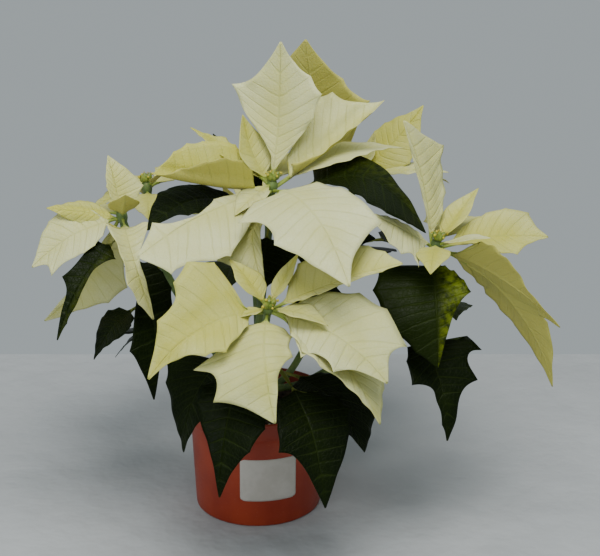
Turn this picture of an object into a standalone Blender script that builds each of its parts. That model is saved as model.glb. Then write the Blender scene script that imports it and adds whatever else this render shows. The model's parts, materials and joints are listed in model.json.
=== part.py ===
"""A poinsettia with cream bracts in a plastic nursery pot, one closed solid for each part.

Lengths are millimetres in the named values and metres in the meshes. Z is up. The pot stands on
Z = 0 with the middle of its base at the origin, and the plant's fuller front faces -Y.
"""

import math
from dataclasses import dataclass

import bpy
import numpy as np

MM = 0.001
GAP = 0.3

# Any direction that no stem follows: a stem's first corner is square to it.
SIDE_GUIDE = (0.31, 0.95, 0.07)

POT_HEIGHT = 100.0
POT_BASE_RADIUS = 55.0
POT_NECK_RADIUS = 58.6
POT_RIM_RADIUS = 64.0
POT_RIM_DEPTH = 16.0
POT_WALL = 1.6
POT_SIDES = 36
POT_FOOT_BEVEL = 2.0
POT_FLOOR_BEVEL = 1.4
RIM_UNDERCUT = 1.5
RIM_STEP = 2.0
RIM_BAND = 1.2
RIM_LIP = (1.6, 2.6)
DRAIN_HOLES = 6
DRAIN_RADIUS = 5.0
DRAIN_CIRCLE = 38.0
DRAIN_SIDES = 8
DRAIN_TURN = 0.25
CUT_REACH = 1.0
SOIL_DEPTH_BELOW_RIM = 12.0

TRUNK_RADIUS = 9.5
TRUNK_SIDES = 8
TRUNK_FOOT = 46.0
TRUNK_TOP = 116.0

STEM_RADIUS = 3.3
STEM_SIDES = 7
STEM_RINGS = 8
LINE_STEPS = 60
AXIS_STEPS = 4
CROWN_LENGTH = 11.0
CROWN_RADIUS = 4.6
CROWN_TOP_RADIUS = 3.8
CROWN_SHOULDERS = (0.35, 0.75)
BRACT_SHARES = (0.20, 0.68)
ROOT_OFFSET = 1.6
STEEP_ROOT_OFFSET = 1.8

BLADE_THICKNESS = 0.8
NECK_THICKNESS = 2.2
NECK_HALF_WIDTH = 1.4
WAVE_SHARE = 0.03
WAVE_TURNS = 11.0
FOLD_REACH = 0.4

CUP_SIDES = 5
CUP_HEIGHT = 7.0
CUP_RADIUS = 3.0
CUP_PROFILE = ((0.0, 0.40), (0.52, 0.95), (0.84, 0.84), (1.0, 0.34))
CUP_SIZES = (0.86, 1.02)
CUP_RING_RADIUS = 1.5
CUP_LEAN = 0.60
CUP_DEPTH_IN_PAD = 1.0
PAD_HEIGHT = 3.0
PAD_RADII = (3.4, 2.8)

CREAM = (0.62, 0.61, 0.40)
LEAF_GREEN = (0.020, 0.048, 0.016)
CUP_GREEN = (0.16, 0.26, 0.06)
TERRACOTTA = (0.28, 0.045, 0.012)
BARK = (0.12, 0.09, 0.05)
PEAT = (0.030, 0.019, 0.012)

# Each row of a blade is one side vein: where it leaves the midrib, and where it meets the edge as
# a share of the length and of the half width.
OVAL = (
    (0.00, 0.02, 0.06),
    (0.04, 0.13, 0.52),
    (0.13, 0.27, 0.90),
    (0.27, 0.43, 1.00),
    (0.42, 0.58, 0.88),
    (0.58, 0.73, 0.58),
    (0.76, 0.87, 0.24),
    (1.00, 1.00, 0.02),
)
BROAD = (
    (0.00, 0.02, 0.06),
    (0.03, 0.14, 0.38),
    (0.12, 0.30, 0.70),
    (0.26, 0.48, 0.94),
    (0.42, 0.65, 1.00),
    (0.58, 0.78, 0.68),
    (0.76, 0.89, 0.26),
    (1.00, 1.00, 0.02),
)
SMALL = (
    (0.00, 0.02, 0.10),
    (0.10, 0.25, 0.85),
    (0.34, 0.50, 1.00),
    (0.62, 0.76, 0.52),
    (1.00, 1.00, 0.02),
)
HEART = (
    (0.00, 0.02, 0.08),
    (0.03, 0.08, 0.62),
    (0.12, 0.22, 0.97),
    (0.26, 0.38, 1.00),
    (0.41, 0.54, 0.80),
    (0.58, 0.70, 0.50),
    (0.76, 0.86, 0.20),
    (1.00, 1.00, 0.02),
)


@dataclass(frozen=True)
class Blade:
    """A bract or a leaf. Its tip is a place in the plant; its root lies in the stem.

    Positive roll and twist lift its left side, positive arch bows it upward, positive fold makes a
    boat of it, and sway bows it to its left. Its left and right edges have the shape's own places,
    or six of their own between the neck and the tip, as shares of the length and half width.
    """

    tip: tuple
    width: float
    arch: float = 0.08
    fold: float = 8.0
    roll: float = 0.0
    twist: float = 0.0
    sway: float = 0.0
    shape: tuple = OVAL
    left: tuple = ()
    right: tuple = ()
    neck: float = 0.10
    at: float = 0.5


@dataclass(frozen=True)
class Branch:
    """One shoot: its stem's route from the trunk to the crown of its bloom, bracts and leaves."""

    name: str
    route: tuple
    bracts: tuple
    leaves: tuple
    cups: int = 6


BRANCHES = (
    Branch(
        "top",
        ((0, 0, TRUNK_TOP + GAP), (0, 0, 150), (8, 3, 220), (14, 5, 293)),
        (
            Blade((75, -125, 247), 84, 0.16, 0, 10,
                  left=((0.06, 0.70), (0.24, 0.90), (0.44, 0.95), (0.68, 1.10), (0.76, 0.60), (0.86, 0.25)),
                  right=((0.07, 0.75), (0.28, 1.35), (0.43, 0.95), (0.64, 1.05), (0.75, 0.72), (0.86, 0.45))),
            Blade((-92, -80, 255), 70, 0.06, 4, -26,
                  left=((0.19, 0.80), (0.38, 1.15), (0.55, 1.45), (0.66, 1.30), (0.83, 0.95), (0.95, 0.95)),
                  right=((0.06, 0.20), (0.17, 0.20), (0.30, 0.28), (0.43, 0.10), (0.60, 0.12), (0.76, 0.50))),
            Blade((9, -75, 225), 70, 0.14, -10, sway=-0.12,
                  left=((0.13, 0.34), (0.27, 0.26), (0.43, 0.18), (0.60, 0.18), (0.75, 0.16), (0.88, 0.10)),
                  right=((0.12, 0.65), (0.30, 0.72), (0.50, 0.82), (0.68, 0.90), (0.78, 0.46), (0.88, 0.20))),
            Blade((-83, -25, 308), 60, -0.03, 58, -4,
                  left=((0.13, 0.80), (0.26, 1.15), (0.44, 1.25), (0.60, 0.95), (0.72, 0.60), (0.84, 0.34)),
                  right=((0.10, 0.90), (0.22, 1.22), (0.38, 1.25), (0.56, 1.22), (0.72, 1.08), (0.84, 0.74))),
            Blade((108, 40, 353), 70, -0.02, 50, -5,
                  left=((0.13, 0.50), (0.38, 0.95), (0.62, 1.22), (0.75, 1.02), (0.79, 0.60), (0.88, 0.32)),
                  right=((0.10, 0.45), (0.26, 0.28), (0.41, 0.16), (0.57, 0.14), (0.71, 0.14), (0.84, 0.20))),
            Blade((128, 66, 304), 48, 0.10, 4),
            Blade((21, 35, 404), 78, -0.06, 8,
                  left=((0.16, 0.12), (0.31, 0.44), (0.46, 0.76), (0.66, 1.06), (0.70, 0.66), (0.86, 0.26)),
                  right=((0.16, 0.28), (0.29, 0.55), (0.43, 0.84), (0.63, 1.00), (0.76, 0.70), (0.87, 0.26))),
            Blade((-56, 42, 329), 44, 0.05, 10,
                  right=((0.14, 0.20), (0.28, 0.12), (0.48, 0.34), (0.64, 0.55), (0.74, 0.26), (0.86, 0.10))),
            Blade((40, 118, 280), 62, 0.10, 6),
            Blade((-11, 27, 344), 34, -0.08, 10, shape=SMALL),
            Blade((-16, -40, 277), 26, 0.06, 8, shape=SMALL),
            Blade((-8, -26, 282), 16, 0.06, 8, shape=SMALL),
        ),
        (
            Blade((-87, -42, 265), 60, 0.13, 4, -18, sway=-0.16, neck=0.22, at=0.93, shape=HEART,
                  left=((0.10, 0.25), (0.22, 0.40), (0.36, 0.50), (0.50, 0.66), (0.64, 0.55), (0.82, 0.24)),
                  right=((0.08, 0.30), (0.22, 0.50), (0.38, 0.70), (0.54, 0.80), (0.64, 0.80), (0.80, 0.44))),
            Blade((140, -34, 260), 60, 0.26, 4, 12, sway=0.15, neck=0.22, at=0.93, shape=HEART,
                  left=((0.03, 0.90), (0.12, 1.30), (0.24, 1.10), (0.43, 0.85), (0.65, 0.45), (0.85, 0.20)),
                  right=((0.08, 0.40), (0.20, 0.60), (0.43, 1.10), (0.66, 1.30), (0.82, 1.05), (0.93, 0.55))),
            Blade((-38, 62, 318), 36, 0.04, 10, neck=0.25, at=0.88, shape=HEART),
            Blade((60, 110, 225), 62, 0.12, 6, neck=0.25, at=0.70, shape=HEART),
            Blade((4, -34, 206), 56, 0.06, 4, neck=0.18, at=0.86, shape=HEART),
            Blade((102, 34, 232), 66, 0.10, 4, 60, neck=0.20, at=0.68, shape=HEART),
            Blade((104, -30, 158), 60, 0.10, 4, 35, neck=0.20, at=0.50, shape=HEART),
        ),
    ),
    Branch(
        "front",
        ((0, -9.08, 100), (1, -40, 116), (7, -70, 178), (12, -102, 222)),
        (
            Blade((-80, -150, 180), 84, 0.15, 12, -40,
                  left=((0.08, 0.30), (0.22, 0.48), (0.40, 0.70), (0.58, 0.56), (0.70, 0.27), (0.83, 0.12)),
                  right=((0.16, 1.10), (0.32, 1.25), (0.45, 1.00), (0.50, 0.70), (0.67, 0.60), (0.79, 0.30))),
            Blade((18, -170, 152), 84, 0.14, -14, sway=-0.06,
                  left=((0.04, 0.35), (0.10, 0.55), (0.25, 0.48), (0.38, 0.55), (0.54, 0.28), (0.78, 0.15)),
                  right=((0.04, 0.50), (0.23, 0.80), (0.45, 1.35), (0.54, 0.95), (0.74, 1.05), (0.83, 0.50))),
            Blade((105, -140, 172), 84, 0.12, 2, 22,
                  left=((0.08, 0.55), (0.23, 0.84), (0.40, 1.14), (0.62, 1.20), (0.90, 0.90), (0.86, 0.48)),
                  right=((0.12, 0.30), (0.26, 0.66), (0.35, 0.88), (0.45, 0.62), (0.65, 0.74), (0.77, 0.36))),
            Blade((118, -92, 254), 60, 0.04, 6, 30,
                  left=((0.10, 0.45), (0.22, 1.00), (0.40, 1.02), (0.62, 0.96), (0.78, 0.80), (0.89, 0.50)),
                  right=((0.08, 0.12), (0.16, 0.18), (0.30, 0.24), (0.50, 0.18), (0.68, 0.15), (0.83, 0.14))),
            Blade((100, -140, 137), 76, 0.12, 4,
                  left=((0.13, 0.50), (0.40, 1.05), (0.60, 1.45), (0.72, 1.00), (0.84, 0.70), (0.93, 0.30)),
                  right=((0.13, 0.50), (0.27, 0.80), (0.43, 0.80), (0.60, 0.50), (0.74, 0.34), (0.87, 0.15))),
            Blade((59, -122, 213), 30, 0.10, 8, shape=SMALL),
            Blade((-20, -70, 250), 26, 0.06, 8, shape=SMALL),
            Blade((-12, -112, 216), 16, 0.06, 8, shape=SMALL),
            Blade((36, -72, 256), 16, 0.02, 8, shape=SMALL),
        ),
        (
            Blade((57, -160, 74), 66, 0.20, 4, neck=0.34, at=0.62, shape=HEART,
                  left=((0.08, 0.62), (0.18, 0.97), (0.30, 1.20), (0.43, 1.02), (0.58, 0.80), (0.79, 0.40)),
                  right=((0.08, 0.55), (0.20, 0.75), (0.34, 0.85), (0.52, 1.00), (0.58, 0.62), (0.80, 0.28))),
            Blade((-26, -165, 86), 60, 0.22, 4, neck=0.30, at=0.70, shape=HEART,
                  left=((0.08, 0.60), (0.18, 0.80), (0.33, 1.05), (0.46, 1.10), (0.65, 0.80), (0.80, 0.36)),
                  right=((0.08, 0.62), (0.20, 0.97), (0.34, 0.95), (0.50, 0.68), (0.64, 0.42), (0.80, 0.20))),
            Blade((-56, -128, 107), 62, 0.28, 4, neck=0.30, at=0.66, shape=HEART,
                  right=((0.14, 1.20), (0.30, 1.45), (0.50, 1.08), (0.63, 0.68), (0.80, 0.40), (0.91, 0.16))),
            Blade((89, -120, 103), 60, 0.20, 4, neck=0.30, at=0.52, shape=HEART,
                  left=((0.10, 0.62), (0.24, 0.95), (0.44, 1.30), (0.77, 1.08), (0.86, 0.60), (0.94, 0.28))),
        ),
    ),
    Branch(
        "left",
        ((-9.08, 0, 108), (-45, -3, 126), (-96, -12, 206), (-111, -20, 275)),
        (
            Blade((-123, 8, 314), 36, 0.03, 10,
                  left=((0.12, 0.30), (0.28, 0.45), (0.46, 0.50), (0.62, 0.40), (0.78, 0.25), (0.90, 0.12)),
                  right=((0.12, 0.35), (0.22, 0.95), (0.38, 1.30), (0.55, 1.00), (0.73, 0.65), (0.88, 0.30))),
            Blade((-172, -20, 277), 36, 0.02, -25, -40,
                  left=((0.13, 0.30), (0.27, 0.50), (0.43, 0.55), (0.58, 0.50), (0.73, 0.36), (0.87, 0.16))),
            Blade((-183, -42, 233), 52, 0.09, 6, -35,
                  left=((0.13, 0.50), (0.27, 0.80), (0.43, 0.90), (0.58, 0.80), (0.90, 0.80), (0.86, 0.40))),
            Blade((-82, -70, 198), 70, 0.16, 20, sway=-0.08,
                  left=((0.02, 0.45), (0.06, 0.65), (0.21, 0.35), (0.40, 0.14), (0.64, 0.12), (0.84, 0.08)),
                  right=((0.02, 0.50), (0.08, 0.50), (0.25, 0.40), (0.42, 0.32), (0.63, 0.40), (0.82, 0.25))),
            Blade((-188, 36, 155), 80, -0.05, 4, -118,
                  left=((0.04, 0.12), (0.12, 0.35), (0.34, 0.85), (0.51, 0.72), (0.68, 0.40), (0.85, 0.20)),
                  right=((0.10, 0.10), (0.25, 0.12), (0.44, 0.12), (0.65, 0.10), (0.82, 0.08), (0.93, 0.04))),
            Blade((-160, 40, 250), 40, 0.06, 6, shape=SMALL),
            Blade((-104, -44, 296), 26, -0.04, 10, shape=SMALL),
        ),
        (
            Blade((-158, -90, 188), 50, 0.12, 4, -30, neck=0.16, at=0.96, shape=HEART,
                  left=((0.04, 0.20), (0.10, 0.50), (0.25, 0.18), (0.46, 0.16), (0.65, 0.20), (0.85, 0.15)),
                  right=((0.05, 0.40), (0.14, 0.50), (0.31, 0.45), (0.50, 0.62), (0.58, 0.30), (0.77, 0.16))),
            Blade((-136, -40, 150), 44, 0.12, 4, neck=0.25, at=0.62, shape=HEART),
            Blade((-84, -68, 126), 60, 0.12, 4, sway=0.04, neck=0.16, at=0.94, shape=HEART,
                  left=((0.03, 0.35), (0.12, 0.58), (0.24, 0.70), (0.37, 0.60), (0.50, 0.30), (0.70, 0.14)),
                  right=((0.06, 0.16), (0.14, 0.22), (0.26, 0.36), (0.40, 0.55), (0.64, 0.78), (0.80, 0.42))),
            Blade((-128, 70, 124), 56, 0.12, 4, neck=0.25, at=0.46, shape=HEART),
        ),
    ),
    Branch(
        "right",
        ((9.08, 0, 104), (50, -3, 118), (130, -12, 180), (151, -20, 249)),
        (
            Blade((122, 0, 346), 64, 0.02, -20, -30, sway=-0.05,
                  left=((0.10, 0.06), (0.28, 0.10), (0.46, 0.12), (0.62, 0.12), (0.76, 0.10), (0.90, 0.06)),
                  right=((0.16, 0.50), (0.31, 0.75), (0.44, 0.80), (0.57, 0.85), (0.66, 1.10), (0.78, 0.60))),
            Blade((246, 0, 245), 60, 0.06, 6, 28,
                  left=((0.18, 0.45), (0.29, 0.65), (0.45, 0.85), (0.64, 0.95), (0.86, 0.85), (0.89, 0.42)),
                  right=((0.20, 0.14), (0.34, 0.30), (0.46, 0.70), (0.62, 0.80), (0.74, 0.45), (0.88, 0.20))),
            Blade((92, -44, 280), 64, 0.03, 4, -40,
                  left=((0.10, 0.60), (0.22, 1.10), (0.30, 0.80), (0.50, 0.90), (0.68, 0.70), (0.85, 0.35)),
                  right=((0.13, 0.15), (0.27, 0.22), (0.43, 0.22), (0.58, 0.20), (0.73, 0.14), (0.87, 0.08))),
            Blade((252, -50, 183), 64, 0.07, 6, -55,
                  right=((0.17, 0.85), (0.26, 1.00), (0.37, 0.85), (0.48, 0.60), (0.61, 0.28), (0.78, 0.12))),
            Blade((252, -28, 120), 50, 0.12, 6, -45, neck=0.15),
            Blade((188, 20, 282), 24, 0.03, 12, shape=SMALL),
            Blade((142, -70, 237), 28, 0.10, 4, shape=SMALL),
            Blade((190, 70, 240), 54, 0.08, 6),
            Blade((192, -50, 261), 24, 0.03, 6, shape=SMALL),
        ),
        (
            Blade((149, -80, 160), 80, 0.16, 4, neck=0.05, at=0.97, shape=HEART,
                  left=((0.03, 0.25), (0.09, 0.42), (0.21, 0.60), (0.34, 0.72), (0.48, 0.42), (0.73, 0.20)),
                  right=((0.05, 0.80), (0.13, 1.15), (0.31, 1.30), (0.53, 1.15), (0.72, 0.85), (0.88, 0.45))),
            Blade((159, -80, 94), 68, 0.20, 4, neck=0.24, at=0.66, shape=HEART,
                  left=((0.06, 1.15), (0.24, 1.35), (0.26, 0.95), (0.52, 1.00), (0.60, 0.50), (0.84, 0.25)),
                  right=((0.04, 0.50), (0.20, 0.72), (0.45, 0.82), (0.50, 0.32), (0.66, 0.18), (0.86, 0.12))),
            Blade((176, 50, 150), 60, 0.16, 4, neck=0.28, at=0.70, shape=HEART),
        ),
    ),
    Branch(
        "back_right",
        ((6.42, 6.42, 98), (34, 36, 116), (76, 92, 190), (85, 105, 272)),
        (
            Blade((42, 92, 394), 70, -0.06, 6, 45, shape=BROAD,
                  left=((0.20, 0.60), (0.34, 1.00), (0.51, 1.50), (0.58, 1.10), (0.70, 0.85), (0.83, 0.45)),
                  right=((0.14, 0.38), (0.30, 0.70), (0.48, 0.94), (0.65, 1.00), (0.82, 0.80), (0.90, 0.42))),
            Blade((147, 118, 329), 50, -0.03, -10, 40),
            Blade((168, 80, 278), 44, 0.06, 6),
            Blade((176, 160, 244), 60, 0.10, 6),
            Blade((100, 215, 262), 62, 0.10, 6),
            Blade((20, 160, 290), 44, 0.06, 10),
            Blade((104, 118, 304), 22, -0.08, 10, shape=SMALL),
        ),
        (
            Blade((170, 130, 170), 62, 0.16, 4, neck=0.28, at=0.74, shape=HEART),
            Blade((120, 190, 160), 62, 0.16, 4, neck=0.28, at=0.62, shape=HEART),
            Blade((130, 90, 110), 56, 0.16, 4, neck=0.28, at=0.46, shape=HEART),
        ),
    ),
    Branch(
        "back_left",
        ((-6.42, 6.42, 102), (-34, 32, 120), (-84, 62, 196), (-98, 70, 272)),
        (
            Blade((-91, 10, 257), 36, 0.06, 6),
            Blade((-132, 112, 262), 46, 0.06, 6),
            Blade((-110, 165, 232), 60, 0.10, 6),
            Blade((-38, 150, 255), 50, 0.08, 8),
            Blade((-152, 66, 242), 40, 0.08, 8),
            Blade((-70, 60, 290), 26, 0.04, 10, shape=SMALL),
        ),
        (
            Blade((-170, 120, 150), 60, 0.16, 4, neck=0.28, at=0.74, shape=HEART),
            Blade((-110, 160, 140), 60, 0.16, 4, neck=0.28, at=0.62, shape=HEART),
            Blade((-130, 60, 110), 52, 0.16, 4, neck=0.28, at=0.46, shape=HEART),
        ),
    ),
    Branch(
        "back",
        ((0, 9.08, 106), (0, 40, 118), (-4, 112, 170), (-6, 135, 224)),
        (
            Blade((-50, 225, 190), 60, 0.10, 6),
            Blade((40, 228, 188), 60, 0.10, 6),
            Blade((-88, 160, 215), 50, 0.08, 6),
            Blade((70, 170, 215), 50, 0.08, 6),
            Blade((-12, 184, 282), 36, -0.08, 10, shape=SMALL),
            Blade((-33, 106, 260), 26, -0.07, 10, shape=SMALL),
        ),
        (
            Blade((-40, 200, 110), 60, 0.18, 4, neck=0.28, at=0.74, shape=HEART),
            Blade((50, 195, 104), 60, 0.18, 4, neck=0.28, at=0.60, shape=HEART),
        ),
    ),
)


def unit(vector):
    """The vector at length one."""
    return vector / np.linalg.norm(vector)


def spline(points, count):
    """Evenly stepped points on a smooth curve through the given ones."""
    ends = [2 * points[0] - points[1], *points, 2 * points[-1] - points[-2]]
    steps = np.linspace(0, len(points) - 1, count)
    found = []
    for step in steps:
        i = min(int(step), len(points) - 2)
        t = step - i
        a, b, c, d = ends[i : i + 4]
        curve = 2 * b + (c - a) * t + (2 * a - 5 * b + 4 * c - d) * t**2
        found.append(0.5 * (curve + (3 * b - 3 * c + d - a) * t**3))
    return np.array(found)


def tube(centres, radii, sides, first_axis=None):
    """A closed tube round the centre line, with flat ends. first_axis turns its first end."""
    axes = np.gradient(centres, axis=0)
    if first_axis is not None:
        axes[0] = first_axis
    side = unit(np.cross(axes[0], SIDE_GUIDE))
    angles = np.arange(sides) * 2 * math.pi / sides
    verts = []
    for centre, axis, radius in zip(centres, axes, radii):
        axis = unit(axis)
        side = unit(side - axis * (side @ axis))
        other = np.cross(axis, side)
        for angle in angles:
            verts.append(centre + radius * (math.cos(angle) * side + math.sin(angle) * other))
    faces = ring_faces(len(centres), sides)
    faces.append(tuple(reversed(range(sides))))
    faces.append(tuple(range(len(verts) - sides, len(verts))))
    return np.array(verts), faces


def ring_faces(rings, sides):
    """The faces between rings of points that run along an axis."""
    faces = []
    for ring in range(rings - 1):
        for i in range(sides):
            a = ring * sides + i
            b = ring * sides + (i + 1) % sides
            faces.append((a, b, b + sides, a + sides))
    return faces


def turned(profile, sides):
    """The solid of a closed profile of (radius, height) round Z, which starts and ends on Z."""
    angles = (np.arange(sides) + 0.5) * 2 * math.pi / sides
    verts = [(0, 0, profile[0][1])]
    for radius, height in profile[1:-1]:
        for angle in angles:
            verts.append((radius * math.cos(angle), radius * math.sin(angle), height))
    verts.append((0, 0, profile[-1][1]))
    rings = len(profile) - 2
    faces = [tuple(i + 1 for i in face) for face in ring_faces(rings, sides)]
    last = len(verts) - 1
    for i in range(sides):
        following = (i + 1) % sides
        faces.append((0, 1 + following, 1 + i))
        faces.append((last, last - sides + i, last - sides + following))
    return np.array(verts, float), faces


def prism(radius, sides, low, high, centre=(0, 0)):
    """An upright prism whose flat sides face the axes."""
    angles = (np.arange(sides) + 0.5) * 2 * math.pi / sides
    verts = []
    for height in (low, high):
        for angle in angles:
            x = centre[0] + radius * math.cos(angle)
            verts.append((x, centre[1] + radius * math.sin(angle), height))
    faces = ring_faces(2, sides)
    faces.append(tuple(reversed(range(sides))))
    faces.append(tuple(range(sides, 2 * sides)))
    return np.array(verts, float), faces


def edge_places(shape, own):
    """The (along, out) places of one edge, row by row."""
    plain = [(along, out) for _, along, out in shape]
    return [plain[0], *own, plain[-1]] if own else plain


def blade_rows(blade):
    """Rows of (along, out in mm) at the right edge, the midrib and the left edge, neck first."""
    left = edge_places(blade.shape, blade.left)
    right = edge_places(blade.shape, blade.right)
    rows = [((0.0, -NECK_HALF_WIDTH), (0.0, 0.0), (0.0, NECK_HALF_WIDTH))]
    for (mid, _, _), near, far in zip(blade.shape, right, left):
        least = NECK_HALF_WIDTH if mid == 0 else 0.0
        places = (
            (near[0], -max(near[1] * blade.width / 2, least)),
            (mid, 0.0),
            (far[0], max(far[1] * blade.width / 2, least)),
        )
        rows.append(tuple((blade.neck + (1 - blade.neck) * s, out) for s, out in places))
    return rows


def blade_frame(root, blade):
    """The blade's length, its direction, its left and its upper side's normal."""
    chord = np.array(blade.tip, float) - root
    length = np.linalg.norm(chord)
    ahead = chord / length
    upper = unit(np.array((0, 0, 1.0)) - ahead[2] * ahead)
    return length, ahead, np.cross(upper, ahead), upper


def blade_point(root, blade, frame, along, out):
    """A point on the blade's middle surface, and the surface's upward normal there."""
    length, ahead, left, upper = frame
    bend = upper * blade.arch + left * blade.sway
    middle = root + ahead * length * along + bend * 4 * along * (1 - along) * length
    axis = unit(ahead + bend * 4 * (1 - 2 * along))
    side = unit(left - axis * (left @ axis))
    normal = np.cross(axis, side)
    turn = math.radians(blade.roll + blade.twist * along)
    side, normal = (
        side * math.cos(turn) + normal * math.sin(turn),
        normal * math.cos(turn) - side * math.sin(turn),
    )
    half = blade.width / 2
    share = abs(out) / half
    hand = math.copysign(1.0, out)
    fold = math.radians(blade.fold) * min(1.0, share / FOLD_REACH) * hand
    phase = WAVE_TURNS * along + 0.1 * blade.tip[0] + hand
    wave = WAVE_SHARE * half * min(1.0, share) ** 2 * math.sin(phase)
    point = middle + (side * math.cos(fold) + normal * math.sin(fold)) * out + normal * wave
    return point, normal * math.cos(fold) - side * math.sin(fold)


def blade_grid(root, blade):
    """The points and the normals of the blade's rows, as two arrays of row, column, axis."""
    frame = blade_frame(root, blade)
    found = [[blade_point(root, blade, frame, s, out) for s, out in row] for row in blade_rows(blade)]
    grid = np.array(found)
    return grid[:, :, 0], grid[:, :, 1]


def rim_path(rows, columns):
    """The grid's outer points in order: neck, left edge, tip, right edge."""
    neck = list(range(columns))
    left = [i * columns + columns - 1 for i in range(1, rows)]
    tip = [(rows - 1) * columns + j for j in range(columns - 2, -1, -1)]
    right = [i * columns for i in range(rows - 2, 0, -1)]
    return neck + left + tip + right


def blade_solid(root, blade):
    """The closed thin solid of one blade, its two faces split into triangles alike."""
    grid, normals = blade_grid(root, blade)
    rows, columns = grid.shape[:2]
    thickness = np.full((rows, 1, 1), BLADE_THICKNESS)
    thickness[:2] = NECK_THICKNESS
    offset = normals * thickness / 2
    verts = np.concatenate([(grid + offset).reshape(-1, 3), (grid - offset).reshape(-1, 3)])
    under = rows * columns
    faces = []
    for i in range(rows - 1):
        for j in range(columns - 1):
            a = i * columns + j
            b, c, d = a + 1, a + columns + 1, a + columns
            halves = ((a, d, c), (a, c, b)) if j == 0 else ((a, d, b), (b, d, c))
            for p, q, r in halves:
                faces.append((p, q, r))
                faces.append((p + under, r + under, q + under))
    rim = rim_path(rows, columns)
    for a, b in zip(rim, rim[1:] + rim[:1]):
        faces.append((a, b, b + under))
        faces.append((a, b + under, a + under))
    return verts, faces


def cup_solid(foot, direction, size):
    """One flower cup: a slim stalk that swells into a small pointed bud."""
    centres = np.array([foot + direction * CUP_HEIGHT * size * share for share, _ in CUP_PROFILE])
    radii = [CUP_RADIUS * size * share for _, share in CUP_PROFILE]
    return tube(centres, radii, CUP_SIDES)


def crown_frame(branch):
    """The top of the crown, its axis, and the place where the green stem ends under it."""
    route = [np.array(point, float) for point in branch.route]
    line = spline(route, LINE_STEPS)
    axis = unit(line[-1] - line[-1 - AXIS_STEPS])
    return line[-1], axis, line[-1] - axis * (CROWN_LENGTH + GAP)


def root_in(centre, axis, tip):
    """A root off the axis on the tip's side, further out where the blade climbs along the axis."""
    toward = unit(np.array(tip, float) - centre)
    climb = max(0.0, toward @ axis)
    return centre + unit(toward - axis * (toward @ axis)) * (ROOT_OFFSET + STEEP_ROOT_OFFSET * climb**4)


def crown_pieces(branch):
    """The crown that carries the bracts, and the bracts, outer ones rooted lowest."""
    top, axis, _ = crown_frame(branch)
    shares = (0.0, *CROWN_SHOULDERS, 1.0)
    centres = np.array([top - axis * CROWN_LENGTH * (1 - share) for share in shares])
    radii = [STEM_RADIUS, CROWN_RADIUS, CROWN_RADIUS, CROWN_TOP_RADIUS]
    core = tube(centres, radii, STEM_SIDES, axis)
    low, high = BRACT_SHARES
    bracts = []
    for i, blade in enumerate(branch.bracts):
        share = low + (high - low) * i / (len(branch.bracts) - 1)
        centre = top - axis * CROWN_LENGTH * (1 - share)
        bracts.append(blade_solid(root_in(centre, axis, blade.tip), blade))
    return core, bracts


def stem_line(branch):
    """Points down the middle of the green stem, from the trunk to the foot of the crown."""
    route = [np.array(point, float) for point in branch.route]
    _, axis, foot = crown_frame(branch)
    line = spline([*route[:-1], foot], LINE_STEPS)
    return line, axis


def stem_pieces(branch):
    """The green stem, and its leaves rooted in it."""
    line, axis = stem_line(branch)
    picks = np.linspace(0, len(line) - 1, STEM_RINGS).round().astype(int)
    centres = line[picks]
    first = np.array(branch.route[0], float)
    outward = np.array((0, 0, 1.0)) if branch.name == "top" else unit(first * (1, 1, 0))
    core = tube(centres, [STEM_RADIUS] * STEM_RINGS, STEM_SIDES, outward)
    leaves = []
    for blade in branch.leaves:
        place = int(blade.at * (len(line) - 1))
        along = unit(line[place + 1] - line[place - 1])
        leaves.append(blade_solid(root_in(line[place], along, blade.tip), blade))
    return core, leaves


def cup_pieces(branch):
    """The small green pad on the crown, and its flower cups: one in the middle, the rest round it."""
    top, axis, _ = crown_frame(branch)
    side = unit(np.cross(axis, SIDE_GUIDE))
    other = np.cross(axis, side)
    foot = top + axis * GAP
    core = tube(np.array([foot, foot + axis * PAD_HEIGHT]), PAD_RADII, STEM_SIDES, axis)
    start = foot + axis * CUP_DEPTH_IN_PAD
    cups = [cup_solid(start, axis, 1.0)]
    ring = branch.cups - 1
    for i in range(ring):
        angle = 2 * math.pi * i / ring
        out = side * math.cos(angle) + other * math.sin(angle)
        size = CUP_SIZES[i % 2]
        cups.append(cup_solid(start + out * CUP_RING_RADIUS, unit(axis + out * CUP_LEAN), size))
    return core, cups


def add_object(name, solid, collection):
    """An object of this name with the solid's mesh, in metres."""
    verts, faces = solid
    mesh = bpy.data.meshes.new(name)
    mesh.from_pydata((np.asarray(verts) * MM).tolist(), [], faces)
    mesh.update()
    node = bpy.data.objects.new(name, mesh)
    collection.objects.link(node)
    return node


def apply_modifiers(node):
    """Keeps the evaluated shape as the object's own mesh."""
    graph = bpy.context.evaluated_depsgraph_get()
    mesh = bpy.data.meshes.new_from_object(node.evaluated_get(graph))
    node.modifiers.clear()
    node.data = mesh
    mesh.name = node.name


def combined(node, solids, operation):
    """Joins the solids to the object, or cuts them from it, with one Boolean on a collection."""
    scene = bpy.context.scene.collection
    helpers = bpy.data.collections.new(node.name + "_helpers")
    scene.children.link(helpers)
    for i, solid in enumerate(solids):
        helper = add_object(f"{node.name}_helper_{i}", solid, helpers)
        helper.hide_render = True
        helper.display_type = "WIRE"
    boolean = node.modifiers.new(operation.title(), "BOOLEAN")
    boolean.operation = operation
    boolean.operand_type = "COLLECTION"
    boolean.collection = helpers
    boolean.solver = "EXACT"
    bpy.context.view_layer.update()
    apply_modifiers(node)
    for helper in list(helpers.objects):
        bpy.data.objects.remove(helper)
    bpy.data.collections.remove(helpers)


def dress(node, material, sharp_degrees=35.0):
    """Gives the object its material and smooth shading with sharp edges."""
    node.data.materials.clear()
    node.data.materials.append(material)
    node.data.shade_smooth()
    node.data.set_sharp_from_angle(angle=math.radians(sharp_degrees))


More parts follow.
